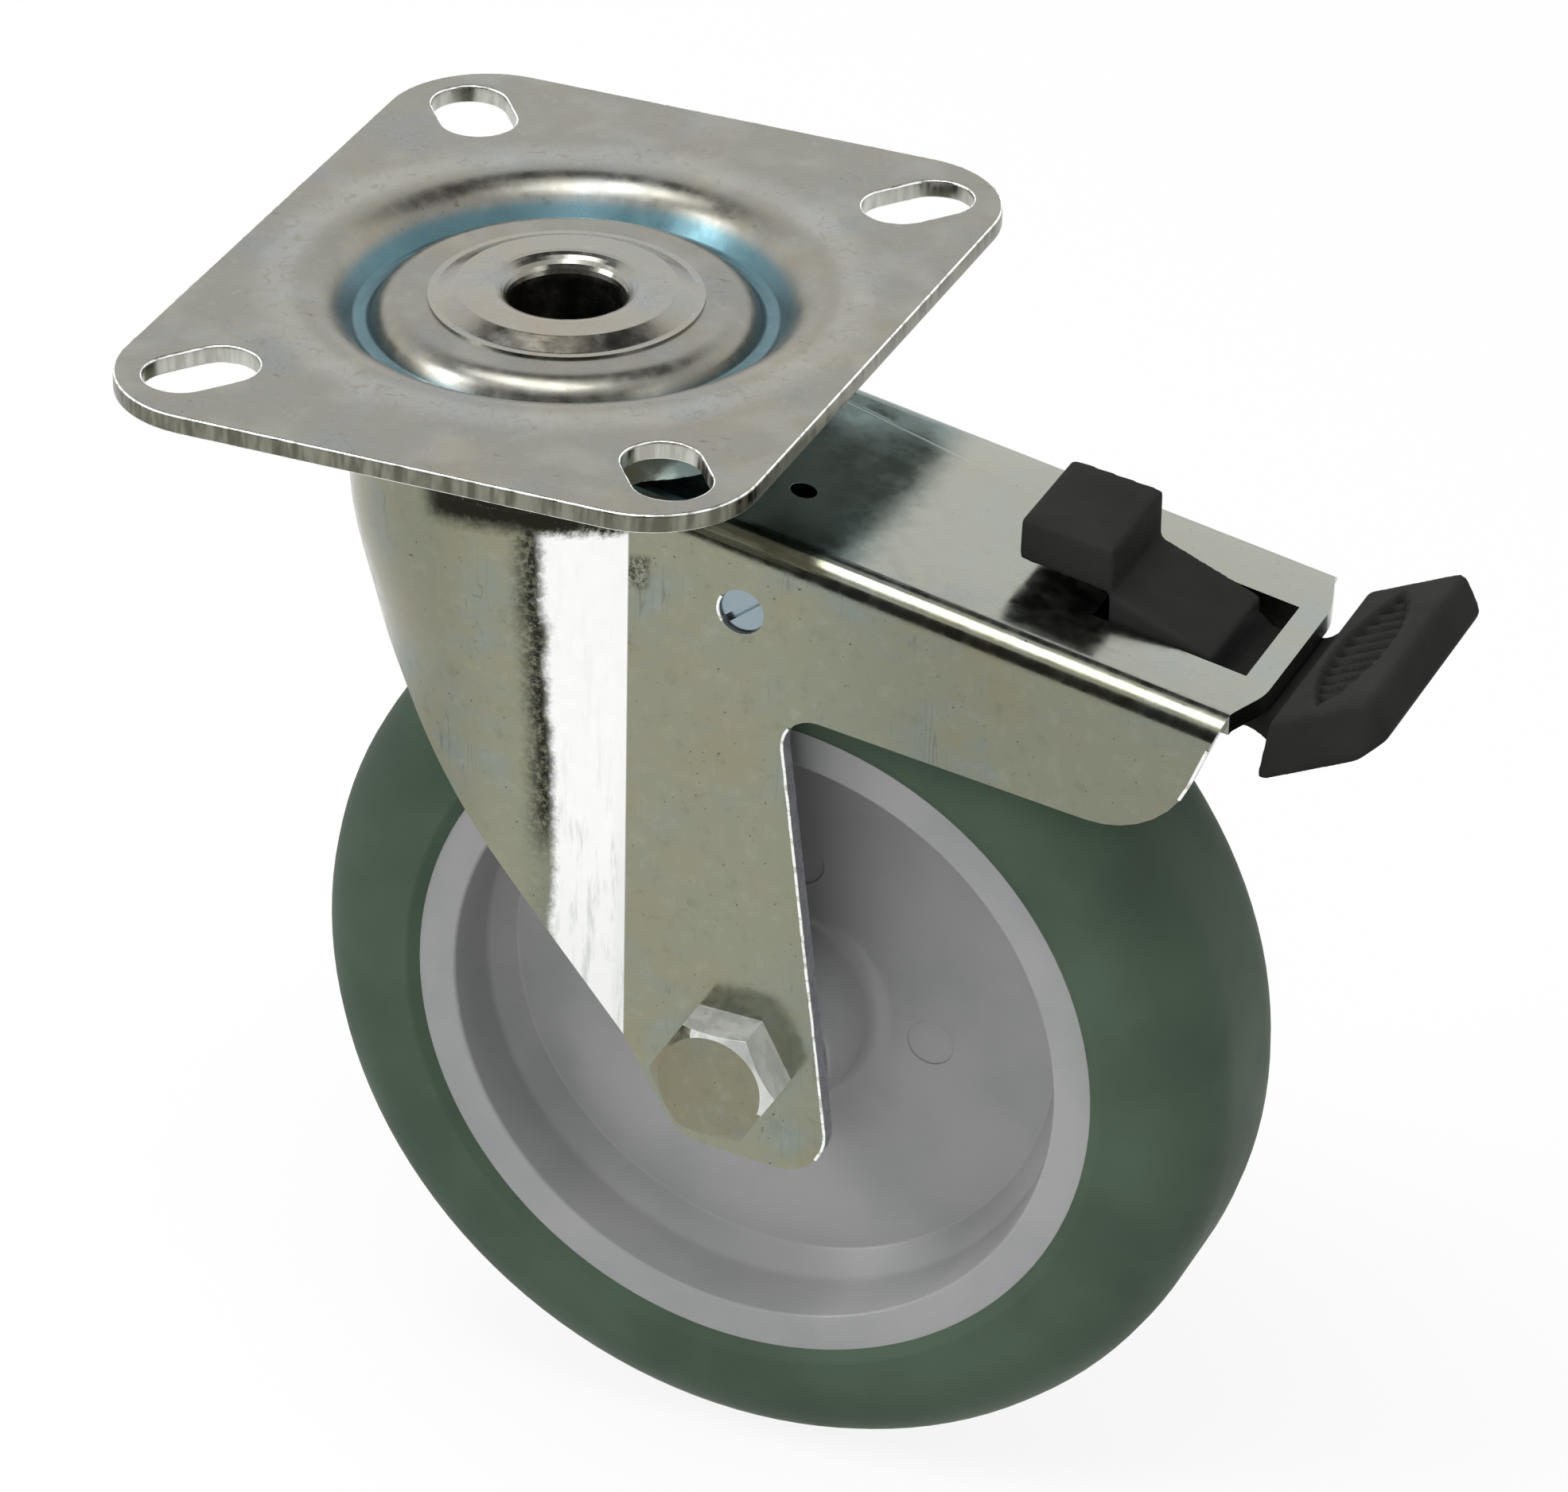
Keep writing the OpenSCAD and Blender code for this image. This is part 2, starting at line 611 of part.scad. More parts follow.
// Short slotted pins, one on each side, that the brake lever swings on
pin_recess = 0.6;
pin_in_y = flange_in_y - 0.4;
module lever_pins()
    color(bright_steel) for (s = [-1, 1])
        translate([pivot_x, s * pin_in_y, pivot_z]) rotate([-90 * s, 0, 0]) difference() {
            cylinder(h = leg_y - pin_recess - pin_in_y, d = lever_pin_d);
            translate([0, 0, leg_y - pin_recess - pin_in_y]) rotate(38)
                cube([lever_pin_d + past, 1, 1.6], center = true);
        }

// Wheel

hub_bore_r = tube_r + roller_d + 2 * play;
wheel_marks = [for (k = [0:3]) -5.5 + 90 * k];
rim_bed_r = rim_r + 2;
rim_bed_y = rim_w / 2 - 4;
wheel_section = rounded(
    [[hub_bore_r, -hub_l / 2], [hub_r, -hub_l / 2], [hub_r + 0.4, -web_t / 2], [web_r, -web_t / 2],
     [rim_in_r - 1.2, -web_t / 2 - 3.6], [rim_in_r, -rim_w / 2], [rim_r, -rim_w / 2],
     [rim_bed_r, -rim_bed_y], [rim_bed_r, rim_bed_y], [rim_r, rim_w / 2], [rim_in_r, rim_w / 2],
     [rim_in_r - 1.2, web_t / 2 + 3.6], [web_r, web_t / 2], [hub_r + 0.4, web_t / 2],
     [hub_r, hub_l / 2], [hub_bore_r, hub_l / 2]],
    [0, 0.6, 2.6, 0.5, 2.4, 0.5, 0, 0, 0, 0, 0.5, 2.4, 0.5, 2.6, 0.6, 0]);

module wheel_centre()
    color(grey_plastic) about_y(axle_x, axle_z) difference() {
        rotate_extrude($fn = 96) polygon(wheel_section);
        for (a = wheel_marks, s = [-1, 1])
            rotate(a) translate([mark_r, 0, s * web_t / 2])
                cylinder(h = 2 * mark_d, d = mark_w, center = true);
    }

tyre_section = rounded(
    [[rim_r, -rim_w / 2], [rim_r + 1.5, -wheel_w / 2], [wheel_r, -wheel_w / 2], [wheel_r, wheel_w / 2],
     [rim_r + 1.5, wheel_w / 2], [rim_r, rim_w / 2], [rim_bed_r, rim_bed_y], [rim_bed_r, -rim_bed_y]],
    [0, 1.2, shoulder_r, shoulder_r, 1.2, 0, 0, 0]);

module tyre()
    color(tyre_green) about_y(axle_x, axle_z) rotate_extrude($fn = 128) polygon(tyre_section);

roller_ring_r = tube_r + play + roller_d / 2;
module rollers()
    color(bright_steel) about_y(axle_x, axle_z)
        ring_of(roller_count, roller_ring_r) cylinder(h = roller_l, d = roller_d, center = true);

module roller_cage()
    color(nylon) about_y(axle_x, axle_z) difference() {
        cylinder(h = cage_l, r = roller_ring_r + cage_t / 2, center = true);
        cylinder(h = cage_l + past, r = roller_ring_r - cage_t / 2, center = true);
        ring_of(roller_count, roller_ring_r)
            cylinder(h = roller_l + side_gap, d = roller_d + side_gap, center = true);
    }

// Plastic caps that close the hub's ends round the axle tube
module bearing_caps()
    color(black_plastic) for (s = [-1, 1])
        translate([axle_x, s * hub_l / 2, axle_z]) rotate([-90 * s, 0, 0]) difference() {
            union() {
                cylinder(h = cap_t, r = cap_r);
                translate([0, 0, -cap_in]) cylinder(h = cap_in, r = hub_bore_r);
            }
            translate([0, 0, -cap_in - past])
                cylinder(h = cap_in + cap_t + 2 * past, r = tube_r + pin_play);
        }

// Brake lever

// Middle line of the lever's web, from the teeth at the front to the shoe at the rear
web_front_x = 15;
web_front_z = rivet_under_z - 3.4;
web_step_x = 27;
web_step_z = arm_under(web_step_x) - 3.8;
web_rear_x = 66.5;
web_slope = (arm_under(web_rear_x) - 3.2 - web_step_z) / (web_rear_x - web_step_x);
function web_mid(x) = web_step_z + (x - web_step_x) * web_slope;
web_line = [[web_front_x, web_front_z], [web_step_x - 5, web_front_z], [web_step_x, web_step_z],
            [web_rear_x, web_mid(web_rear_x)]];

tooth_r0 = rivet_foot_r + 3.1;
tooth_l = lock_r - tooth_r0 - 1;
tooth_w = lock_slot_w - 2 * side_gap;
tooth_top_z = lock_under_z - 0.5;
web_half_w = flange_in_y + lever_t / 2;

flange_outline = rounded(
    [[web_step_x - 2.5, web_mid(web_step_x) + lever_t / 2], [rocker_x + 5, arm_under(rocker_x + 5) - 2.3],
     [rocker_x + 5.4, rocker_z - 2], [rocker_x, rocker_z - 5], [pivot_x, pivot_z - 4.8],
     [web_step_x - 1, pivot_z - 1.4]],
    [1.5, 2, 3, 4.5, 4.5, 1.5]);

module brake_lever()
    color(zinc) difference() {
        union() {
            along_y(2 * web_half_w) polygon(sheet(web_line, [0, 2.4, 2.4, 0], lever_t));
            for (s = [-1, 1]) along_y(lever_t, s * (lever_w - lever_t) / 2) polygon(flange_outline);
            for (k = [-1, 0, 1]) rotate(k * 360 / lock_slots)
                translate([tooth_r0, -tooth_w / 2, web_front_z])
                    cube([tooth_l, tooth_w, tooth_top_z - web_front_z]);
        }
        about_y(pivot_x, pivot_z)
            cylinder(h = lever_w + past, r = lever_pin_d / 2 + pin_play, center = true);
        about_y(rocker_x, rocker_z) cylinder(h = lever_w + past, d = rocker_pin_d, center = true);
        for (x = shoe_rivet_x) rivet_hole(x);
        rivet_hole(spring_rivet_x);
    }

// A small rivet square to the lever's web at x, and its hole
web_angle = atan(web_slope);
module at_web(x)
    translate([x, 0, web_mid(x)]) rotate([0, -web_angle, 0]) children();
module rivet_hole(x)
    at_web(x) cylinder(h = 2 * lever_t, d = small_rivet_d, center = true);

// Shoe, whose toothed face is concentric with the tyre when the brake is on
shoe_x0 = 46;
shoe_x1 = 65;
shoe_rivet_x = [51, 60];
function swung(p, a) =
    let (d = p - [pivot_x, pivot_z])
    [pivot_x, pivot_z] + [d[0] * cos(a) - d[1] * sin(a), d[0] * sin(a) + d[1] * cos(a)];
wheel_seen = swung([axle_x, axle_z], lever_swing);
shoe_face_r = wheel_r + shoe_gap;
shoe_teeth = 7;
shoe_tooth_d = 0.9;

module brake_shoe()
    color(dark_steel) difference() {
        along_y(shoe_w) difference() {
            polygon([[shoe_x0, web_mid(shoe_x0) - lever_t / 2 / cos(web_angle)],
                     [shoe_x1, web_mid(shoe_x1) - lever_t / 2 / cos(web_angle)],
                     [shoe_x1, -arm_low_drop], [shoe_x0, -arm_low_drop]]);
            translate(wheel_seen) circle(shoe_face_r, $fn = 180);
            for (i = [0:shoe_teeth - 1])
                let (
                    x = shoe_x0 + (shoe_x1 - shoe_x0) * (i + 0.5) / shoe_teeth,
                    a = acos((x - wheel_seen[0]) / shoe_face_r)
                )
                translate(wheel_seen) rotate(a) translate([shoe_face_r, 0]) rotate(45)
                    square(shoe_tooth_d * sqrt(2), center = true);
        }
        for (x = shoe_rivet_x) at_web(x) cylinder(h = 2 * shoe_rivet_l, d = small_rivet_d, center = true);
    }

// Rivets with a low round head on the web, closed in the shoe
shoe_rivet_l = 3.2;
rivet_head_h = 0.9;
module round_rivet(l)
    union() {
        translate([0, 0, -l]) cylinder(h = l + lever_t / 2, d = small_rivet_d);
        translate([0, 0, lever_t / 2]) cylinder(h = rivet_head_h, d1 = small_rivet_d * 1.6,
                                                d2 = small_rivet_d * 1.1);
    }

module shoe_rivets()
    color(bright_steel) for (x = shoe_rivet_x) at_web(x) round_rivet(shoe_rivet_l);

// Return spring: a strip on the lever's web whose tip bears up under the fork
spring_rivet_x = 42;
spring_tip_x = 29;
spring_seat = 4.5;
spring_tip_l = 1.6;
spring_rest_gap = 0.75;
spring_play = 0.01;
spring_lift = (lever_t / 2 + spring_t / 2) / cos(web_angle) + spring_play;
spring_line = [[spring_rivet_x + spring_seat, web_mid(spring_rivet_x + spring_seat) + spring_lift],
               [spring_rivet_x - spring_seat, web_mid(spring_rivet_x - spring_seat) + spring_lift],
               [spring_tip_x + spring_tip_l,
                arm_under(spring_tip_x + spring_tip_l) - spring_t / 2 - spring_rest_gap],
               [spring_tip_x - 1, arm_under(spring_tip_x) - spring_t / 2 - 2 * spring_rest_gap]];

module return_spring()
    color(bright_steel) difference() {
        along_y(spring_w) polygon(sheet(spring_line, [0, 2, 1.4, 0], spring_t));
        rivet_hole(spring_rivet_x);
    }

module spring_rivet()
    color(bright_steel) at_web(spring_rivet_x) {
        translate([0, 0, -lever_t / 2])
            cylinder(h = lever_t + spring_t + 3 * spring_play, d = small_rivet_d);
        translate([0, 0, lever_t / 2 + spring_t + 3 * spring_play])
            cylinder(h = rivet_head_h, d1 = small_rivet_d * 1.6, d2 = small_rivet_d * 1.1);
        translate([0, 0, -lever_t / 2 - rivet_head_h])
            cylinder(h = rivet_head_h, d1 = small_rivet_d * 1.1, d2 = small_rivet_d * 1.6);
    }

// Pin that the pedal turns on, held in the lever's flanges
module rocker_pin()
    color(bright_steel) about_y(rocker_x, rocker_z)
        cylinder(h = lever_w + side_gap, d = rocker_pin_d, center = true);

// Pedal moulding: release block, neck, body with the pin bore, and foot pedal

pedal_in_x = 101.4;
pedal_in_z = -29.2;
rest_gap = 0.35;
shoulder_x = window_x0 - 2;
body_half_h = 4.6;
body_outline = rounded(
    [[shoulder_x, arm_under(shoulder_x) - rest_gap], [rocker_x + 6.5, arm_under(rocker_x + 6.5) - rest_gap],
     [rocker_x + 9, rocker_z - 0.6], [rocker_x + 8.4, rocker_z - 3.4], [rocker_x + 5, rocker_z - body_half_h],
     [rocker_x - 3, rocker_z - body_half_h], [shoulder_x, arm_under(shoulder_x) - rest_gap - body_half_h]],
    [1, 1.5, 1.2, 1.5, 2.5, 4, 1.2]);

// Neck that carries the foot pedal out past the end of the arm
neck_outline = rounded(
    [[rocker_x + 2, arm_under(rocker_x + 2) - 2], [arm_end_x - 3, end_low_z - 0.9],
     [arm_end_x + 0.3, end_low_z - 0.6], [pedal_in_x + 1, pedal_in_z - 0.5],
     [pedal_in_x + 1, pedal_in_z - 8.4], [pedal_in_x - 1.2, pedal_in_z - 8.4],
     [arm_end_x - 2.9, end_low_z - 3.1], [rocker_x + 6, rocker_z - 3.6], [rocker_x + 2, rocker_z - 3.6]],
    [0, 1, 1.5, 0, 0, 0, 2.5, 1, 0]);

block_x0 = 64.7;
block_x1 = 77.2;
block_top_z = arm_top(block_x0) + 9;
block_drop = tan(8);
block_low = 3.1;
block_outline = rounded(
    [[block_x0 + 0.2, block_top_z], [block_x1, block_top_z - (block_x1 - block_x0) * block_drop],
     [block_x1, arm_top(block_x1) + block_low], [rocker_x + 6.6, arm_top(rocker_x + 6.6) + 0.2],
     [rocker_x + 6.6, arm_under(rocker_x + 6.6) - 3], [window_x0 + 1.6, arm_under(window_x0) - 3],
     [window_x0 + 1.6, arm_top(window_x0 + 1.6) + block_low], [block_x0, arm_top(block_x0) + block_low]],
    [0.7, 0.5, 0.6, 0.5, 0, 0, 0.4, 0.5]);

pedal_top_run = pedal_end_x - pedal_in_x - 3.1;
pedal_tilt = 24.5;
pedal_top_z = pedal_in_z + pedal_top_run * tan(pedal_tilt);
pedal_outline = rounded(
    [[pedal_in_x, pedal_in_z], [pedal_in_x + pedal_top_run, pedal_top_z], [pedal_end_x, pedal_top_z - 4.7],
     [pedal_end_x - 4.2, pedal_top_z - 8.6], [pedal_in_x - 1.4, pedal_in_z - 8.8]],
    [0.8, 1.2, 1.6, 3, 0.6]);
pedal_plan = rounded(
    [[pedal_in_x - 3, -pedal_w / 2], [pedal_end_x + past, -pedal_w / 2], [pedal_end_x + past, pedal_w / 2],
     [pedal_in_x - 3, pedal_w / 2]],
    [1, 4.5, 4.5, 1]);

// The grip's hollow is where two circles overlap, crossed by low ribs
grip_arc_r = (grip_l * grip_l / 4 + grip_w * grip_w / 4) / grip_w;
module grip_shape()
    intersection_for(s = [-1, 1]) translate([s * (grip_arc_r - grip_w / 2), 0]) circle(grip_arc_r, $fn = 120);

module grip_hollow()
    translate([pedal_in_x + pedal_top_run / 2, 0, (pedal_in_z + pedal_top_z) / 2])
        rotate([0, -pedal_tilt, 0])
        difference() {
            translate([0, 0, -grip_d]) linear_extrude(grip_d + past) grip_shape();
            for (k = [-5:5])
                translate([0, k * grip_pitch, -grip_d]) rotate([0, 90, 0])
                    cylinder(h = 2 * grip_w, d = grip_d * 1.5, center = true, $fn = 24);
        }

module brake_pedal()
    color(black_plastic) difference() {
        union() {
            along_y(rocker_w) polygon(body_outline);
            along_y(neck_w) polygon(neck_outline);
            along_y(block_w) polygon(block_outline);
            intersection() {
                along_y(pedal_w) polygon(pedal_outline);
                translate([0, 0, -arm_low_drop]) linear_extrude(arm_low_drop) polygon(pedal_plan);
            }
        }
        about_y(rocker_x, rocker_z)
            cylinder(h = rocker_w + past, r = rocker_pin_d / 2 + pin_play, center = true);
        grip_hollow();
    }

top_plate();
king_rivet();
lower_race();
lock_ring();
upper_balls();
lower_balls();
fork();
axle_bolt();
axle_nut();
nut_locking_ring();
axle_tube();
lever_pins();
wheel_centre();
tyre();
rollers();
roller_cage();
bearing_caps();
brake_lever();
brake_shoe();
shoe_rivets();
return_spring();
spring_rivet();
rocker_pin();
brake_pedal();
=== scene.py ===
# %% [markdown]
# Braked swivel castor.
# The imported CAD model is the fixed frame. This lesson gives it a camera, a small studio, finishes
# for zinc-plated steel, rubber and moulded plastic, and the soft edges that pressing and moulding leave.
# Blender works in metres here, so a size in millimetres is written as 2.5 * MM.

# %% Load the frame
import math

import bmesh
import bpy
from mathutils import Matrix, Vector


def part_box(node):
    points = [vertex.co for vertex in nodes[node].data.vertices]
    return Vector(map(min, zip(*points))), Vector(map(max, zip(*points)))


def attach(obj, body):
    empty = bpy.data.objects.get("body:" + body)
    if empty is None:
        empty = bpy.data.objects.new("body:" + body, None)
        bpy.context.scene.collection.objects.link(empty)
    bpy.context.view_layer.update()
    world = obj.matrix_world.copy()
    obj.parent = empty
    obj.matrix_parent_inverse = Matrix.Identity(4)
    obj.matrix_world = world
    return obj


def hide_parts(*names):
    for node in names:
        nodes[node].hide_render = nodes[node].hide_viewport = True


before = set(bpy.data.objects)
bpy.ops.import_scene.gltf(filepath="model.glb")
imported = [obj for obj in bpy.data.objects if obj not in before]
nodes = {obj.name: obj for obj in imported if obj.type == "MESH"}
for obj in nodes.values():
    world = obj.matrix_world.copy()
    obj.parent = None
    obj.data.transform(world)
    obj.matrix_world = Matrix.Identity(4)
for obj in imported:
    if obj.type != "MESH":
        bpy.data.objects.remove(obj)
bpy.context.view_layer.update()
MM = 0.001

# %% [markdown]
# The camera stands where the photographer stood: 22.4 degrees round from the front, 30.1 degrees up and
# about a metre away, with a long lens. The lens comes from the focal length in pixels, because Blender
# measures it against the width of the sensor.

# %% Camera
PHOTO_W = 1971
camera_azimuth, camera_height, camera_roll = (math.radians(a) for a in (22.391, 30.089, 1.215))
camera_place = Vector((392.0, -877.1, 490.4)) * MM
focal_pixels = 10848.0


def new_object(name, data):
    """An object in the scene for a mesh, a curve, a lamp or a camera."""
    made = bpy.data.objects.new(name, data)
    bpy.context.scene.collection.objects.link(made)
    return made


back = Vector((
    math.sin(camera_azimuth) * math.cos(camera_height),
    -math.cos(camera_azimuth) * math.cos(camera_height),
    math.sin(camera_height),
))
level_right = (-back).cross(Vector((0, 0, 1))).normalized()
level_up = level_right.cross(-back)
right = math.cos(camera_roll) * level_right + math.sin(camera_roll) * level_up
up = -math.sin(camera_roll) * level_right + math.cos(camera_roll) * level_up

camera_data = bpy.data.cameras.new("photo_camera")
camera = new_object("photo_camera", camera_data)
camera_turn = Matrix((right, up, back)).transposed().to_4x4()
camera.matrix_world = Matrix.Translation(camera_place) @ camera_turn
camera_data.sensor_width = 36.0
camera_data.lens = focal_pixels / PHOTO_W * camera_data.sensor_width
camera_data.clip_start, camera_data.clip_end = 0.05, 20.0
bpy.context.scene.camera = camera
bpy.context.scene.view_settings.view_transform = "Standard"
print("lens in mm:", round(camera_data.lens, 1))

# %% [markdown]
# A material is a small network, and these helpers keep it short to write. Colours are sRGB hex, as a
# colour picker shows them, and are turned to the linear light that shaders work in. One function gives
# a node its inputs, and one adds a node with its settings and inputs. The nodes and settings used most
# have short names: RANGE with SMOOTH stretches a range of a value to another and clamps it, MIX with
# COLOURS mixes the colours in its inputs 6 and 7, and MATH is one step of arithmetic.

# %% Helpers for any node
MATH, VECTOR_MATH, RANGE, MIX, NOISE, MAPPING, BUMP = ("ShaderNode" + kind for kind in (
    "Math", "VectorMath", "MapRange", "Mix", "TexNoise", "Mapping", "Bump"))
SMOOTH, COLOURS = {"interpolation_type": "SMOOTHSTEP"}, {"data_type": "RGBA"}
TIMES, PLUS, MINUS, TIMES_PLUS, LARGER, UNSIGNED, LESS_THAN, MORE_THAN, DOT, SCALED, LENGTH = (
    {"operation": what} for what in (
        "MULTIPLY", "ADD", "SUBTRACT", "MULTIPLY_ADD", "MAXIMUM", "ABSOLUTE", "LESS_THAN", "GREATER_THAN",
        "DOT_PRODUCT", "SCALE", "LENGTH"))


def linear(hex_colour):
    """Turns an sRGB hex colour into linear RGBA."""
    parts = [int(hex_colour[i:i + 2], 16) / 255 for i in (0, 2, 4)]
    return [c / 12.92 if c <= 0.04045 else ((c + 0.055) / 1.055) ** 2.4 for c in parts] + [1.0]


def feed(node, inputs):
    """Gives a node its inputs, by place or by name.

    Each one is a value, a hex colour, an output socket, or a node, which means its first output in use.
    """
    for key, value in inputs.items() if isinstance(inputs, dict) else enumerate(inputs):
        if isinstance(value, bpy.types.Node):
            value = next(socket for socket in value.outputs if socket.enabled)
        if isinstance(value, bpy.types.NodeSocket):
            node.id_data.links.new(value, node.inputs[key])
        else:
            node.inputs[key].default_value = linear(value) if isinstance(value, str) else value
    return node


def add(tree, kind, settings=None, inputs=()):
    """Adds one node to a tree, with its settings and its inputs."""
    made = tree.nodes.new(kind)
    for name, value in (settings or {}).items():
        setattr(made, name, value)
    return feed(made, inputs)


print("pure red is", [round(c, 2) for c in linear("ff0000")])

# %% [markdown]
# A finish is painted in coats, as a sign painter would do it. A share says where a coat lies: it is a
# number, a node, or a tuple of a value and the range over which the coat fades in. Shares that have to
# hold together are multiplied.

# %% Helpers for finishes


def new_material(name):
    """An empty material, its tree, its shader and the object's own coordinates in metres."""
    material = bpy.data.materials.new(name)
    material.use_nodes = True
    tree = material.node_tree
    coordinates = add(tree, "ShaderNodeTexCoord").outputs["Object"]
    return material, tree, tree.nodes["Principled BSDF"], coordinates


def share_of(tree, share):
    """Leaves a number or a node as it is, and makes a tuple a smooth rise over its range."""
    return add(tree, RANGE, SMOOTH, share) if isinstance(share, tuple) else share


def together(tree, first, *others):
    """The product of shares."""
    result = share_of(tree, first)
    for other in others:
        result = add(tree, MATH, TIMES, (result, share_of(tree, other)))
    return result


def painted(tree, colour, *coats):
    """Lays coats over a colour. Each coat is a share and a colour."""
    for share, coat in coats:
        colour = add(tree, MIX, COLOURS, {0: share_of(tree, share), 6: colour, 7: coat})
    return colour


def seen_directly(tree):
    """1 for light paths from the camera, a reflection or a pane of glass, and 0 for all others."""
    path = add(tree, "ShaderNodeLightPath").outputs
    mirrored = add(tree, MATH, LARGER, (path["Is Glossy Ray"], path["Is Transmission Ray"]))
    return add(tree, MATH, LARGER, (path["Is Camera Ray"], mirrored))


print("helpers ready")

# %% [markdown]
# The studio is a pale floor and a white surround. Most of the light on the castor comes from the lamps,
# so both are fully white only where the camera or a reflection looks at them. The floor keeps a little
# of its own paint, which lets the castor's shadow show.

# %% Floor and surround
floor_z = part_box("tyre")[0].z
floor_half = 6.0
floor_glow = 0.84


def sheet_object(name, corners, faces):
    """A mesh object from corners in metres."""
    mesh = bpy.data.meshes.new(name)
    mesh.from_pydata(corners, [], faces)
    return new_object(name, mesh)


floor = sheet_object("floor", [(sx * floor_half, sy * floor_half, floor_z)
                               for sx, sy in ((-1, -1), (1, -1), (1, 1), (-1, 1))], [(0, 1, 2, 3)])
floor_paint, tree, shader, _ = new_material("pale_floor_paint")
feed(shader, {"Base Color": "cacac8", "Roughness": 0.9})
glow = add(tree, "ShaderNodeEmission", None, {"Color": "ffffff", "Strength": 1.05})
pale = add(tree, "ShaderNodeMixShader", None, (together(tree, seen_directly(tree), floor_glow), shader, glow))
feed(tree.nodes["Material Output"], {"Surface": pale})
floor.data.materials.append(floor_paint)

world = bpy.data.worlds.new("studio_surround")
bpy.context.scene.world = world
world.use_nodes = True
tree = world.node_tree
plain = add(tree, "ShaderNodeBackground", None, {"Color": "e9ecf0", "Strength": 0.62})
white = add(tree, "ShaderNodeBackground", None, {"Color": "ffffff", "Strength": 1.0})
surround = add(tree, "ShaderNodeMixShader", None, (seen_directly(tree), plain, white))
feed(tree.nodes["World Output"], {"Surface": surround})
print("floor at", round(floor_z, 4))

# %% [markdown]
# Polished zinc is a mirror, so it shows what stands round it. A white card behind, black cards in front
# and high up behind, and a grey one to the left draw its edges, as a product photographer would do it.
# They are pieces of one large sphere that only reflections see, so they neither light nor shade the part.

# %% Cards that only reflections see
card_radius, card_step = 2.8, 5


def card(name, azimuth, height, brightness):
    """Part of a large sphere round the castor, between two azimuths and two heights in degrees."""
    (a0, a1), (h0, h1) = azimuth, height
    across, rows = max(2, int((a1 - a0) / card_step)), max(2, int((h1 - h0) / card_step))
    corners = []
    for j in range(rows + 1):
        h = math.radians(h0 + (h1 - h0) * j / rows)
        for i in range(across + 1):
            a = math.radians(a0 + (a1 - a0) * i / across)
            corners.append((card_radius * math.cos(h) * math.cos(a), card_radius * math.cos(h) * math.sin(a),
                            card_radius * math.sin(h)))
    faces = [(j * (across + 1) + i, j * (across + 1) + i + 1, (j + 1) * (across + 1) + i + 1,
              (j + 1) * (across + 1) + i) for j in range(rows) for i in range(across)]
    made = sheet_object(name, corners, faces)
    cloth, tree, *_ = new_material(name + "_cloth")
    light = add(tree, "ShaderNodeEmission", None, {"Color": "ffffff", "Strength": brightness})
    feed(tree.nodes["Material Output"], {"Surface": light})
    made.data.materials.append(cloth)
    made.visible_camera = made.visible_diffuse = made.visible_shadow = False
    made.visible_transmission = False
    return made


card("back_white_card", (35, 195), (13, 47), 1.35)
card("back_black_card", (20, 205), (50, 76), 0.05)
card("front_black_card", (215, 350), (1, 44), 0.05)
card("left_grey_card", (196, 214), (-6, 60), 0.3)

# %% [markdown]
# Three soft boxes light the castor from above, left and right. A fourth lamp in front lifts the dark
# sides of rubber and plastic, and reflections don't see it, so the zinc keeps its dark bands.

# %% Lamps
castor_middle = (0.03, 0.0, -0.07)


def soft_box(name, place, width, height, power):
    """A rectangular lamp, turned to the middle of the castor. Places and sizes are in metres."""
    lamp = bpy.data.lights.new(name, "AREA")
    lamp.shape, lamp.size, lamp.size_y, lamp.energy = "RECTANGLE", width, height, power
    made = new_object(name, lamp)
    made.location = place
    made.rotation_euler = (Vector(castor_middle) - Vector(place)).to_track_quat("-Z", "Y").to_euler()
    return made


soft_box("top_soft_box", (-0.15, -0.35, 1.6), 1.3, 0.7, 17)
soft_box("left_soft_box", (-1.3, -0.9, 0.95), 0.7, 0.7, 15)
soft_box("right_soft_box", (1.5, -0.4, 0.7), 0.5, 0.9, 3)
fill = soft_box("front_fill", (0.1, -1.5, 0.3), 0.9, 0.6, 5)
fill.visible_glossy = False

# %% [markdown]
# Bright zinc plate is a thin bath of zinc on rolled steel, sealed with a clear passivate that leaves it
# warm in places and cool in others. It is a metal, so its colour is the colour of its reflections.
# Rolling leaves a fine grain along the sheet, handling leaves clouds, specks and hair scratches. Real
# hairs and specks are about a tenth of a millimetre: they are drawn a few times coarser, so they show.

# %% Zinc plate


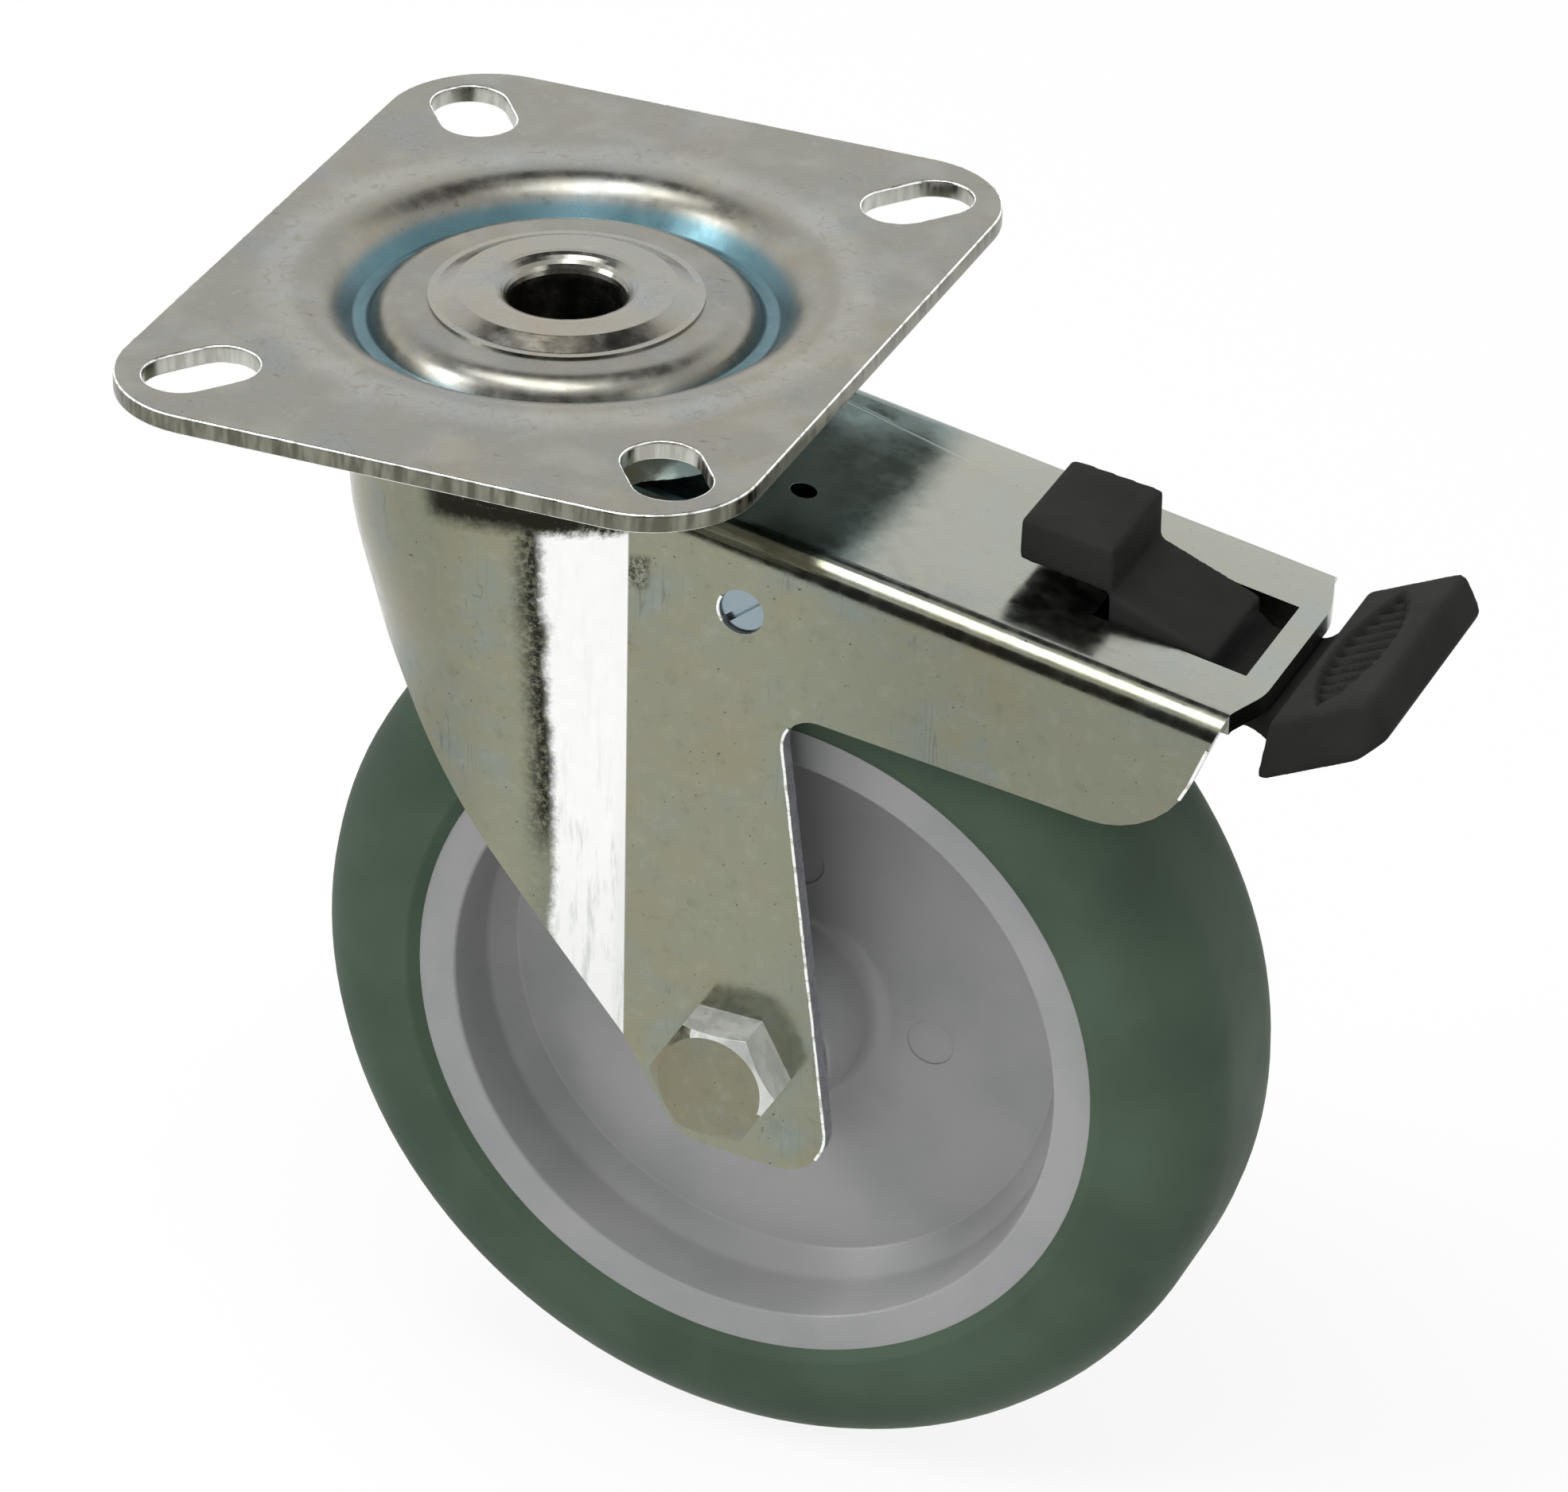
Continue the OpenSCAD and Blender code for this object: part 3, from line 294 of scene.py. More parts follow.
def zinc_plate(name, clean, warm, cool, smooth, rough, speck=0.6, hairs=0.5):
    """Zinc-plated steel: a clean tint, warm and cool clouds, dark specks, hair scratches and grain."""
    material, tree, shader, place = new_material(name)

    def cloud(size_mm, detail=4.0, distortion=0.0, shift=0.0):
        moved = add(tree, MAPPING, None, {"Vector": place, "Location": (shift, shift, 0)})
        return add(tree, NOISE, None, {
            "Vector": moved, "Scale": 1 / (size_mm * MM), "Detail": detail, "Roughness": 0.62,
            "Distortion": distortion})

    clouds, blooms, patches = cloud(24), cloud(13, 5.0, 0.3, 0.3), cloud(2.6, 5.0, 0.2, 0.7)
    pits = cloud(0.8, 2.0, 0.0, 0.5)
    drawn = add(tree, MAPPING, None,
                {"Vector": place, "Scale": (1.0, 1.0, 0.05), "Rotation": (0.25, 0.35, 0.3)})
    lines = add(tree, NOISE, None, {"Vector": drawn, "Scale": 1 / (2.2 * MM), "Detail": 1.0})
    off_line = add(tree, MATH, UNSIGNED, (add(tree, MATH, MINUS, (lines, 0.5)),))
    colour = painted(
        tree, clean,
        ((clouds, 0.42, 0.68), warm),
        ((blooms, 0.46, 0.72), cool),
        ((patches, 0.5, 0.85, 0, 0.16), "cfd0cb"),
        ((patches, 0.46, 0.24, 0, 0.22), "55554b"),
        (together(tree, (off_line, 0.0, 0.008, hairs, 0), (blooms, 0.5, 0.6)), "5a584c"),
        ((pits, 0.7, 0.76, 0, speck), "2c2c27"))
    relief = add(tree, MATH, TIMES_PLUS, (clouds, 1.6, patches))
    feed(shader, {
        "Base Color": colour, "Metallic": 1.0,
        "Roughness": add(tree, RANGE, SMOOTH, (patches, 0.3, 0.7, smooth, rough)),
        "Normal": add(tree, BUMP, None, {"Strength": 0.25, "Distance": 0.06 * MM, "Height": relief})})
    return material, tree, shader, place, colour


rivet_zinc, *_ = zinc_plate("bright_zinc_on_rivet", "8d8c84", "8f887b", "868a8a", 0.18, 0.3, speck=0.3)
small_zinc, *_ = zinc_plate(
    "bright_zinc_on_fasteners", "868470", "837c64", "7f8278", 0.2, 0.34, speck=0.4)
pin_zinc, *_ = zinc_plate("blue_zinc_on_pins", "93a3ab", "8f9a9c", "7d929d", 0.12, 0.22, speck=0.2)
lever_zinc, *_ = zinc_plate("bright_zinc_on_lever", "8d8f86", "8a8672", "7f8a8c", 0.25, 0.4)
print("zinc finishes made")

# %% [markdown]
# The fork is the same zinc, with painted highlight and painted shade over it. Its marks follow its shape,
# so they are placed along the object's own axes. Two noises push the borders about, one fine and one slow,
# so no border is straight.

# %% Zinc on the fork: where its marks lie
# the fork's zinc carries painted highlight and painted shade, added below
fork_zinc, tree, shader, place, colour = zinc_plate(
    "bright_zinc_on_fork_with_painted_light", "8f917f", "918e78", "88918a", 0.13, 0.26, speck=0.7, hairs=0.35)
axes = add(tree, "ShaderNodeSeparateXYZ", None, (place,)).outputs
fine = add(tree, NOISE, None, {"Vector": place, "Scale": 1 / (0.9 * MM), "Detail": 4.0, "Roughness": 0.75})
slow = add(tree, NOISE, None, {"Vector": place, "Scale": 1 / (9 * MM), "Detail": 3.0, "Roughness": 0.6})
wander = add(tree, MATH, PLUS, (add(tree, MATH, TIMES_PLUS, (fine, 2.0 * MM, -1.0 * MM)),
                                add(tree, MATH, TIMES_PLUS, (slow, 3.0 * MM, -1.5 * MM))))
ragged_x = add(tree, MATH, PLUS, (axes["X"], wander))
ragged_z = add(tree, MATH, PLUS, (axes["Z"], wander))
crease_x, side_y = 18.4 * MM, 21.0 * MM
off_middle = add(tree, MATH, UNSIGNED, (axes["Y"],))
side = add(tree, RANGE, SMOOTH, (off_middle, side_y - 0.4 * MM, side_y + 0.4 * MM))
before_crease = add(tree, RANGE, SMOOTH, (axes["X"], crease_x - 0.1 * MM, crease_x + 0.1 * MM, 1, 0))
print("crease at", round(crease_x, 4))

# %% [markdown]
# The fork's joggle, between the nose and each flat leg, carries a painted highlight: a band far brighter
# than the sheet beside it, crisp at the crease and ragged towards the nose. Beside it lie a fringe of
# painted shade, a painted shadow of the plate above it and a dark spot behind the crease. The nose and
# the rear of the arm are painted a little darker than the leg, as painted shade.

# %% Painted shade and a dark spot on the fork
# painted shade: the rear of the arm and the nose are darkened towards black
arm_rear = add(tree, RANGE, SMOOTH, (axes["X"], 34 * MM, 60 * MM))
nose = add(tree, RANGE, SMOOTH, (axes["X"], 2 * MM, -8 * MM))
painted_shade_at_ends = add(tree, MATH, LARGER, (arm_rear, nose))
# a painted shadow of the plate above the band, and a fringe of painted shade along its ragged side
painted_shadow_patch = together(tree, (ragged_x, -9 * MM, -5 * MM), before_crease,
                 (ragged_z, -22.5 * MM, -19.5 * MM), (ragged_x, 12 * MM, 15 * MM, 1, 0))
painted_shade_fringe = together(tree, (ragged_x, 3.6 * MM, 7.4 * MM), before_crease,
                  (axes["Z"], -72 * MM, -62 * MM, 0.2, 1), (fine, 0.34, 0.56, 0.45, 1))
# a dark spot behind the crease
dark_spot = together(tree, (ragged_x, 17.9 * MM, 18.7 * MM), (ragged_x, 20.4 * MM, 21.6 * MM, 1, 0),
                  (ragged_z, -23 * MM, -24.5 * MM), (ragged_z, -29 * MM, -26.5 * MM, 0, 0.8),
                  (fine, 0.42, 0.6))
# the painted shadow, the painted shade and the dark spot, in one mask
painted_shade_and_dark_spot = add(tree, MATH, LARGER, (add(tree, MATH, LARGER, (painted_shadow_patch, painted_shade_fringe)), dark_spot))
# painted shade: the darkened ends, then the painted shadow and fringe of shade with the dark spot
colour = painted(tree, colour, (together(tree, painted_shade_at_ends, 0.17), "000000"),
                 (together(tree, painted_shade_and_dark_spot, side, (fine, 0.62, 0.74, 1, 0.5)), "26261f"))
print("dark marks: patch, fringe, smudge")

# %% [markdown]
# The painted highlight band is nearly white, with faint upright streaks that grow towards its foot. The
# top of the arm gets a little painted light. Under the plate it is painted dark blue, partly the blue of a
# thicker passivate and partly painted shade under the plate.

# %% Painted highlight band, painted light and shade on the arm
# painted highlight: the bright band on the joggle, a reflection painted into the colour
painted_highlight_band = together(tree, (ragged_x, 7.6 * MM, 9.2 * MM), before_crease,
                (ragged_z, -21.4 * MM, -20.0 * MM, 1, 0), side)
upright = add(tree, MAPPING, None, {"Vector": place, "Scale": (1, 1, 0.12)})
lines = add(tree, NOISE, None, {"Vector": upright, "Scale": 1 / (1.6 * MM), "Detail": 4.0, "Roughness": 0.7})
low_down = add(tree, RANGE, SMOOTH, (axes["Z"], -48 * MM, -72 * MM, 0.06, 0.4))
streaks = together(tree, (lines, 0.5, 0.68), low_down)
near_crease = together(tree, (axes["X"], 16.2 * MM, 17.8 * MM, 0, 0.35), low_down)
# the painted highlight's colour: near-white, greyer low down, with faint upright streaks
sheen = painted(tree, "fbfcfa", ((axes["Z"], -92 * MM, -60 * MM, 0.22, 0), "c9cbc4"),
                (add(tree, MATH, LARGER, (streaks, near_crease)), "a0a49f"))
# painted light: the top of the arm is lightened
on_top = together(tree, (off_middle, 18.5 * MM, 20.5 * MM, 1, 0), (axes["X"], 14 * MM, 24 * MM))
passivate_and_painted_shade = together(tree, (ragged_x, 43 * MM, 50 * MM, 0.72, 0), on_top)
# coats: the painted highlight band, painted light on the arm's top, then passivate blue with painted shade
colour = painted(tree, colour, (painted_highlight_band, sheen), (together(tree, on_top, 0.4), "a6a9a8"),
                 (passivate_and_painted_shade, "4b6668"))
feed(shader, {"Base Color": colour})
print("fork finish made")

# %% [markdown]
# The plate's top is the same zinc, with short scratches, scuffs on the ring round the dish and a little
# painted shade on the boss round the rivet. The passivate pools in the groove and dries blue there. All
# of this follows circles about the rivet, so the distance from the middle places it.

# %% Zinc on the plate
plate_zinc, tree, shader, place, colour = zinc_plate(
    "bright_zinc_on_plate", "818078", "848074", "7e8180", 0.26, 0.37, speck=0.3, hairs=0.5)
axes = add(tree, "ShaderNodeSeparateXYZ", None, (place,)).outputs
flat = add(tree, "ShaderNodeCombineXYZ", None, (axes["X"], axes["Y"]))
reach = add(tree, VECTOR_MATH, LENGTH, (flat,)).outputs["Value"]
scuff = add(tree, NOISE, None, {"Vector": place, "Scale": 1 / (2.2 * MM), "Detail": 5.0, "Distortion": 1.5})
longways = add(tree, MAPPING, None, {"Vector": place, "Scale": (0.3, 1.0, 1.0)})
dashes = add(tree, NOISE, None,
             {"Vector": longways, "Scale": 1 / (0.9 * MM), "Detail": 3.0, "Roughness": 0.6})
areas = add(tree, NOISE, None, {"Vector": place, "Scale": 1 / (9 * MM), "Detail": 2.0})
ring = together(tree, (reach, 33 * MM, 35.5 * MM), (reach, 36.5 * MM, 41 * MM, 1, 0))
groove = together(tree, (reach, 24 * MM, 25.2 * MM), (reach, 27.6 * MM, 30 * MM, 1, 0),
                  (axes["Z"], -1.6 * MM, -3.2 * MM))
colour = painted(
    tree, colour,
    # painted shade: the boss inside the groove is a little darker
    ((reach, 21.5 * MM, 23.5 * MM, 0.06, 0), "000000"),
    (together(tree, (dashes, 0.62, 0.7, 0, 0.6), (areas, 0.5, 0.62)), "5d5345"),
    ((areas, 0.54, 0.3, 0, 0.08), "d4d6cf"),
    (together(tree, ring, (scuff, 0.54, 0.66, 0, 0.6)), "6b6457"),
    (together(tree, ring, 0.16), "c4c6c2"),
    (together(tree, groove, 0.85), "486d78"))
feed(shader, {"Base Color": colour})
print("plate finish made")

# %% [markdown]
# A punch shears the slots and the outlines. That leaves a wall with soft upright lines, some bright and
# some dark, and a burr along its rim, whose near-white finish is a painted glint. The bolt's rolled
# facets and the fork's cut walls are duller and scatter light like paint, so they are only partly
# metallic here.

# %% Zinc on sheared walls, burrs and facets


def sheared_zinc(name, base, bright, low, high, size_mm, drawn_out, metallic=1.0):
    """A wall left by a punch, with lines of one size, drawn out along the wall's height."""
    material, tree, shader, place = new_material(name)
    upright = add(tree, MAPPING, None, {"Vector": place, "Scale": (1, 1, drawn_out)})
    lines = add(tree, NOISE, None, {
        "Vector": upright, "Scale": 1 / (size_mm * MM), "Detail": 2.0, "Roughness": 0.6})
    feed(shader, {
        "Base Color": painted(tree, base, ((lines, low, high), bright)), "Metallic": metallic,
        "Roughness": add(tree, RANGE, SMOOTH, (lines, 0.3, 0.7, 0.18, 0.38)),
        "Normal": add(tree, BUMP, None, {"Strength": 0.3, "Distance": 0.03 * MM, "Height": lines})})
    return material


wall_zinc = sheared_zinc("sheared_zinc_on_outline", "5f5f53", "8d8d80", 0.36, 0.7, 1.6, 0.2)
slot_zinc = sheared_zinc("sheared_zinc_in_slots", "a3a39a", "cbccc4", 0.36, 0.7, 1.4, 0.15)
# painted highlight: the burr finish is near-white, a painted glint along cut edges
burr_zinc_painted_glint = sheared_zinc("burr_zinc_with_painted_glint", "c9c9c0", "fdfefb", 0.36, 0.5, 1.6, 1.0)
# the facets' brighter finish also goes on the bolt's chamfer where it faces the light, as painted light
facet_zinc_and_lit_chamfer = sheared_zinc("rolled_zinc_on_facets_and_lit_chamfer", "c4c5bf", "e0e2dc", 0.3, 0.7, 3.0, 0.4, metallic=0.4)
cut_zinc = sheared_zinc("sheared_zinc_on_fork", "88888e", "9c9ca2", 0.3, 0.7, 2.5, 1.0, metallic=0.5)
print("walls and burrs made")

# %% [markdown]
# Bearing steel is ground and keeps a film of oil, so it is smoother and darker than the zinc. Most of
# it is inside the castor. The cage, the caps and the nut's locking ring are plastics, made below.

# %% Steels


def worn_steel(name, clean, dark, smooth, rough):
    """Hardened steel with a film of oil, darker in patches of about 4 mm."""
    material, tree, shader, place = new_material(name)
    patches = add(tree, NOISE, None, {"Vector": place, "Scale": 1 / (4 * MM), "Detail": 4.0})
    feed(shader, {
        "Base Color": painted(tree, clean, ((patches, 0.4, 0.7), dark)), "Metallic": 1.0,
        "Roughness": add(tree, RANGE, SMOOTH, (patches, 0.35, 0.7, smooth, rough))})
    return material


race_steel = worn_steel("oiled_race_steel", "7c7e80", "55585a", 0.22, 0.4)
lock_steel = worn_steel("oiled_tooth_steel", "707274", "4d4f50", 0.3, 0.45)
ball_steel = worn_steel("ground_ball_steel", "d4d6d8", "bcbfc2", 0.05, 0.12)
spring_steel = worn_steel("tempered_spring_steel", "6d6a62", "45464a", 0.25, 0.4)
print("steels made")

# %% [markdown]
# The tyre is a grey-green rubber compound that doesn't mark floors, smooth from a polished mould but
# never glossy. The wheel centre and the pedal are moulded nylon, which takes a fine grain from the tool.
# That grain is really under 0.1 mm: it is drawn at 0.3 to 0.6 mm, so it shows. Rubber and nylon start
# from an IOR of 1.5. Tyre, wheel centre and pedal reflect less than that gives, so theirs is lower.

# %% Rubber and plastics


def moulded(name, base, shade, smooth, rough, grain_mm, depth_mm, ior=1.5, cloud_mm=14.0, gloss=0.5):
    """A moulded compound: a little uneven in tint and sheen, with the tool's fine grain."""
    material, tree, shader, place = new_material(name)
    clouds = add(tree, NOISE, None, {"Vector": place, "Scale": 1 / (cloud_mm * MM), "Detail": 4.0})
    skin = add(tree, NOISE, None, {"Vector": place, "Scale": 1 / (grain_mm * MM), "Detail": 2.0})
    feed(shader, {
        "Base Color": painted(tree, base, ((clouds, 0.35, 0.7), shade)),
        "Roughness": add(tree, RANGE, SMOOTH, (clouds, 0.3, 0.7, smooth, rough)),
        "IOR": ior, "Specular IOR Level": gloss,
        "Normal": add(tree, BUMP, None, {"Strength": 0.5, "Distance": depth_mm * MM, "Height": skin})})
    return material


tyre_rubber = moulded("grey_green_rubber", "485748", "404d41", 0.44, 0.56, 0.5, 0.01,
                      ior=1.3, cloud_mm=20, gloss=0.15)
wheel_nylon = moulded("grey_moulded_nylon", "939392", "8b8c8b", 0.28, 0.4, 0.6, 0.008, ior=1.42)
pedal_nylon = moulded("black_glass_filled_nylon", "2d2e2b", "272826", 0.44, 0.54, 0.35, 0.02,
                      ior=1.13, gloss=0.1)
cap_nylon = moulded("black_cap_nylon", "1e1e1e", "262726", 0.4, 0.55, 0.3, 0.02)
ring_nylon = moulded("blue_locking_nylon", "2c5f9e", "27568f", 0.35, 0.45, 0.3, 0.01)
cage_nylon = moulded("natural_cage_nylon", "cfc7ad", "c2b99c", 0.4, 0.5, 0.4, 0.01)
print("rubber and plastics made")

# %% [markdown]
# Each CAD node gets its finish here. A node that a dressed piece replaces later passes its finish on.

# %% Finish of each node
finish_of = {
    "top_plate": plate_zinc, "king_rivet": rivet_zinc, "lower_race": race_steel, "lock_ring": lock_steel,
    "upper_balls": ball_steel, "lower_balls": ball_steel, "fork": fork_zinc, "axle_bolt": small_zinc,
    "axle_nut": small_zinc, "nut_locking_ring": ring_nylon, "axle_tube": ball_steel,
    "lever_pins": pin_zinc, "wheel_centre": wheel_nylon, "tyre": tyre_rubber, "rollers": ball_steel,
    "roller_cage": cage_nylon, "bearing_caps": cap_nylon, "brake_lever": lever_zinc,
    "brake_shoe": lock_steel, "shoe_rivets": small_zinc, "return_spring": spring_steel,
    "spring_rivet": small_zinc, "rocker_pin": small_zinc, "brake_pedal": pedal_nylon,
}
for name, material in finish_of.items():
    nodes[name].data.materials.clear()
    nodes[name].data.materials.append(material)
print("finished nodes:", len(finish_of))

# %% [markdown]
# CAD meshes are loose triangles with flat shading, and the fork's nose is drawn in flat strips. Sheet
# metal is smooth there. So a copy of a node has its corners merged, and its shading smoothed up to a
# sharp angle.

# %% Smooth copies


def smooth_under(work, degrees):
    """Smooths the shading of a mesh, apart from open edges and edges sharper than an angle."""
    limit = math.radians(degrees)
    for face in work.faces:
        face.smooth = True
    for edge in work.edges:
        edge.smooth = len(edge.link_faces) == 2 and edge.calc_face_angle(0) < limit


def smooth_copy(node, name, sharp_degrees):
    """A merged and smoothed copy of a CAD node, with its finish."""
    mesh = bpy.data.meshes.new(name)
    work = bmesh.new()
    work.from_mesh(nodes[node].data)
    bmesh.ops.remove_doubles(work, verts=work.verts, dist=0.002 * MM)
    smooth_under(work, sharp_degrees)
    work.to_mesh(mesh)
    work.free()
    made = new_object(name, mesh)
    made.data.materials.append(finish_of[node])
    return made


print("nodes to copy from:", len(nodes))

# %% [markdown]
# CAD edges are perfectly sharp, and real ones catch a thin line of light, so they are bevelled. The
# new faces can take a finish of their own. The bevel is baked at once, because a piece goes out as a
# plain mesh. Then the piece is tied to the moving body of its CAD node and takes the node's place.

# %% Bevels and stand-ins


def bake(made):
    """Makes what an object's modifiers show its own plain mesh."""
    shown = made.evaluated_get(bpy.context.evaluated_depsgraph_get())
    baked = bpy.data.meshes.new_from_object(shown)
    made.modifiers.clear()
    made.data = baked


def bevelled(made, width, degrees, second=None):
    """Bevels and bakes an object's edges over an angle. The new faces can take a second finish."""
    if second is not None:
        made.data.materials.append(second)
    bevel = made.modifiers.new("rounded_edges", "BEVEL")
    bevel.width, bevel.segments, bevel.limit_method = width, 2, "ANGLE"
    bevel.angle_limit, bevel.use_clamp_overlap = math.radians(degrees), True
    bevel.material = 1 if second is not None else -1
    bake(made)


def stand_in(made, node, body):
    """Lets an object ride on its body and stand in for a CAD node."""
    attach(made, body)
    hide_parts(node)


print("helpers for pieces ready")

# %% [markdown]
# The fork keeps its CAD shape. Its bevel takes the near-white finish of a burr, a painted glint along its
# edges, and the walls that the punch cut, found by their place at the legs and by their direction, take
# the dull one.

# %% Fork
fork_sheet = smooth_copy("fork", "fork_sheet", 28)
# the bevel's faces take the burr finish, a painted glint along the fork's edges
bevelled(fork_sheet, 0.3 * MM, 55, burr_zinc_painted_glint)
fork_sheet.data.materials.append(cut_zinc)
main_zinc, dull_zinc = 0, 2
leg_y, wall_width, square_under = 22.0 * MM, 2.2 * MM, 0.15
for face in fork_sheet.data.polygons:
    is_wall = leg_y - wall_width < abs(face.center.y) and abs(face.normal.y) < square_under
    if face.material_index == main_zinc and is_wall:
        face.material_index = dull_zinc
stand_in(fork_sheet, "fork", "fork")
print("fork faces:", len(fork_sheet.data.polygons))

# %% [markdown]
# The tyre is round all over and needs no bevel. The wheel centre's rim and hub have small moulded
# radii. The bolt's head has a rolled chamfer. Its facets are brighter than its face, and so is the part
# of the chamfer towards the light, which gets the facets' finish as painted light.

# %% Tyre, wheel centre and bolt
tyre_ring = smooth_copy("tyre", "tyre_ring", 35)
stand_in(tyre_ring, "tyre", "wheel")
wheel_disc = smooth_copy("wheel_centre", "wheel_disc", 30)
bevelled(wheel_disc, 0.25 * MM, 40)
stand_in(wheel_disc, "wheel_centre", "wheel")
bolt_turned = smooth_copy("axle_bolt", "bolt_turned", 25)
bevelled(bolt_turned, 0.25 * MM, 12)
bolt_turned.data.materials.append(facet_zinc_and_lit_chamfer)
head_height = 6.3 * MM
head_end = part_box("axle_bolt")[0].y + head_height
upright_under, flat_over, lit_over = 0.3, 0.95, 0.3
# painted light: the chamfer where it faces up and to the right takes the brighter facet finish
for face in bolt_turned.data.polygons:
    is_facet = abs(face.normal.y) < upright_under
    is_lit_chamfer = abs(face.normal.y) < flat_over and face.normal.x + face.normal.z > lit_over
    if face.center.y < head_end and (is_facet or is_lit_chamfer):
        face.material_index = 1
stand_in(bolt_turned, "axle_bolt", "fork")
print("faces:", {o.name: len(o.data.polygons) for o in (tyre_ring, wheel_disc, bolt_turned)})

# %% [markdown]
# A moulded pedal has no sharp edge anywhere. A bevel would break up on its many small faces. So a voxel
# remesh of the CAD solid, smoothed a little, rounds every edge by about half a millimetre.

# %% Pedal with moulded edges
skin_voxel, softening, softening_rounds = 0.38 * MM, 0.5, 12
pedal = smooth_copy("brake_pedal", "pedal_moulding", 180)
remesh = pedal.modifiers.new("skin", "REMESH")
remesh.mode, remesh.voxel_size, remesh.adaptivity = "VOXEL", skin_voxel, 0.0
soften = pedal.modifiers.new("soften", "SMOOTH")
soften.factor, soften.iterations = softening, softening_rounds
bake(pedal)
for face in pedal.data.polygons:
    face.use_smooth = True
print("pedal faces:", len(pedal.data.polygons))

# %% [markdown]
# The ribbed hollow in the pedal is where two circles overlap. The corners of the skin that lie in it are
# pushed down along the slope's own normal, less at each rib, so wall and ribs keep a moulded roundness.

# %% Ribbed hollow
slope = math.radians(24.5)
hollow_middle = Vector((107.55, 0, -26.4)) * MM
along_slope = Vector((math.cos(slope), 0, math.sin(slope)))
out_of_slope = Vector((-math.sin(slope), 0, math.cos(slope)))
hollow_length, hollow_width, hollow_depth, rib_pitch = (v * MM for v in (32.0, 8.6, 2.3, 2.7))
nearer, wall_run, skin_low, skin_high = (v * MM for v in (1.0, 0.8, -1.8, 0.4))
rib_height = 0.7
hollow_radius = (hollow_length ** 2 + hollow_width ** 2) / (4 * hollow_width)
sunk = 0
for corner in pedal.data.vertices:
    off = corner.co - hollow_middle
    u, v, w = off.dot(along_slope) + nearer, off.y, off.dot(out_of_slope)
    if not (skin_low < w < skin_high and abs(v) < hollow_length / 2):
        continue
    inside = math.sqrt(hollow_radius ** 2 - v * v) - hollow_radius + hollow_width / 2 - abs(u)
    if inside > 0:
        share = min(1.0, inside / wall_run)
        share = share * share * (3 - 2 * share)
        rib = (0.5 + 0.5 * math.cos(2 * math.pi * v / rib_pitch)) ** 3
        corner.co += out_of_slope * (-hollow_depth * share * (1 - rib_height * rib) - w)
        sunk += 1
pedal.data.materials.clear()
pedal.data.materials.append(pedal_nylon)
stand_in(pedal, "brake_pedal", "pedal")
print("corners moved:", sunk)

# %% [markdown]
# The plate is blanked from 2.5 mm sheet: a rounded rectangle with four slots that point at its middle,
# and room for the dish. Each outline is a list of points, made from arcs.

# %% Outlines of the blank and its slots
plate_half = Vector(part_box("top_plate")[1][:2])
plate_t, corner_r, roll = 2.5 * MM, 14.0 * MM, 0.35 * MM
slot_half = Vector((31.1, 39.8)) * MM
slot_w, slot_l = 9.9 * MM, 15.0 * MM
dish_out = 34.05 * MM
quarters = ((1, 1), (-1, 1), (-1, -1), (1, -1))


def arc(centre, radius, start, end, steps):
    """Points on an arc, with angles in degrees."""
    return [Vector((centre[0] + radius * math.cos(math.radians(start + (end - start) * i / steps)),
                    centre[1] + radius * math.sin(math.radians(start + (end - start) * i / steps))))
            for i in range(steps + 1)]


def plate_outline(inset):
    """The plate's rounded rectangle, moved in by inset."""
    points = []
    for (sx, sy), start in zip(quarters, (0, 90, 180, 270)):
        centre = (sx * (plate_half.x - corner_r), sy * (plate_half.y - corner_r))
        points += arc(centre, corner_r - inset, start, start + 90, 16)
    return points


def slot_outline(sx, sy, inset):
    """One slot, whose long axis points at the middle of the plate."""
    turn = math.degrees(math.atan2(sy * slot_half.y, sx * slot_half.x))
    along = Vector((math.cos(math.radians(turn)), math.sin(math.radians(turn)))) * (slot_l - slot_w) / 2
    centre = Vector((sx * slot_half.x, sy * slot_half.y))
    radius = slot_w / 2 + inset
    return (arc(centre + along, radius, turn - 90, turn + 90, 20)
            + arc(centre - along, radius, turn + 90, turn + 270, 20))


print("points round plate and slot:", len(plate_outline(roll)), len(slot_outline(1, 1, roll)))

# %% [markdown]
# The punch rolls the edges over. A flat curve is filled between its outline and its holes by itself, and
# extruded with a small round bevel it gives exactly that. The bevel pushes an edge out, so the outline
# lies in by the radius of the roll, and the slots are that much wider.

# %% Blank with rolled edges
plate_curve =bpy.data.curves.new("plate_curve", "CURVE")
plate_curve.dimensions, plate_curve.fill_mode = "2D", "BOTH"
dish_hole = arc((0, 0), dish_out, 0, 360, 128)[:-1]
for loop in [plate_outline(roll), dish_hole] + [slot_outline(sx, sy, roll) for sx, sy in quarters]:
    spline = plate_curve.splines.new("POLY")
    spline.points.add(len(loop) - 1)
    for point, target in zip(spline.points, loop):
        point.co = (target.x, target.y, 0, 1)
    spline.use_cyclic_u = True
plate_curve.extrude = plate_t / 2 - roll
plate_curve.bevel_depth, plate_curve.bevel_resolution = roll, 3
plate_object = new_object("plate_curve", plate_curve)
plate_mesh = bpy.data.meshes.new_from_object(
    plate_object.evaluated_get(bpy.context.evaluated_depsgraph_get()))
bpy.data.objects.remove(plate_object)
plate_mesh.transform(Matrix.Translation((0, 0, -plate_t / 2)))
print("plate blank faces:", len(plate_mesh.polygons))

# %% [markdown]
# The dish is pressed into the same sheet. Its section is a bent line with a radius at each bend, and
# each face of the sheet lies half its thickness to one side, with its bends that much tighter or wider.

# %% Section of a bent sheet


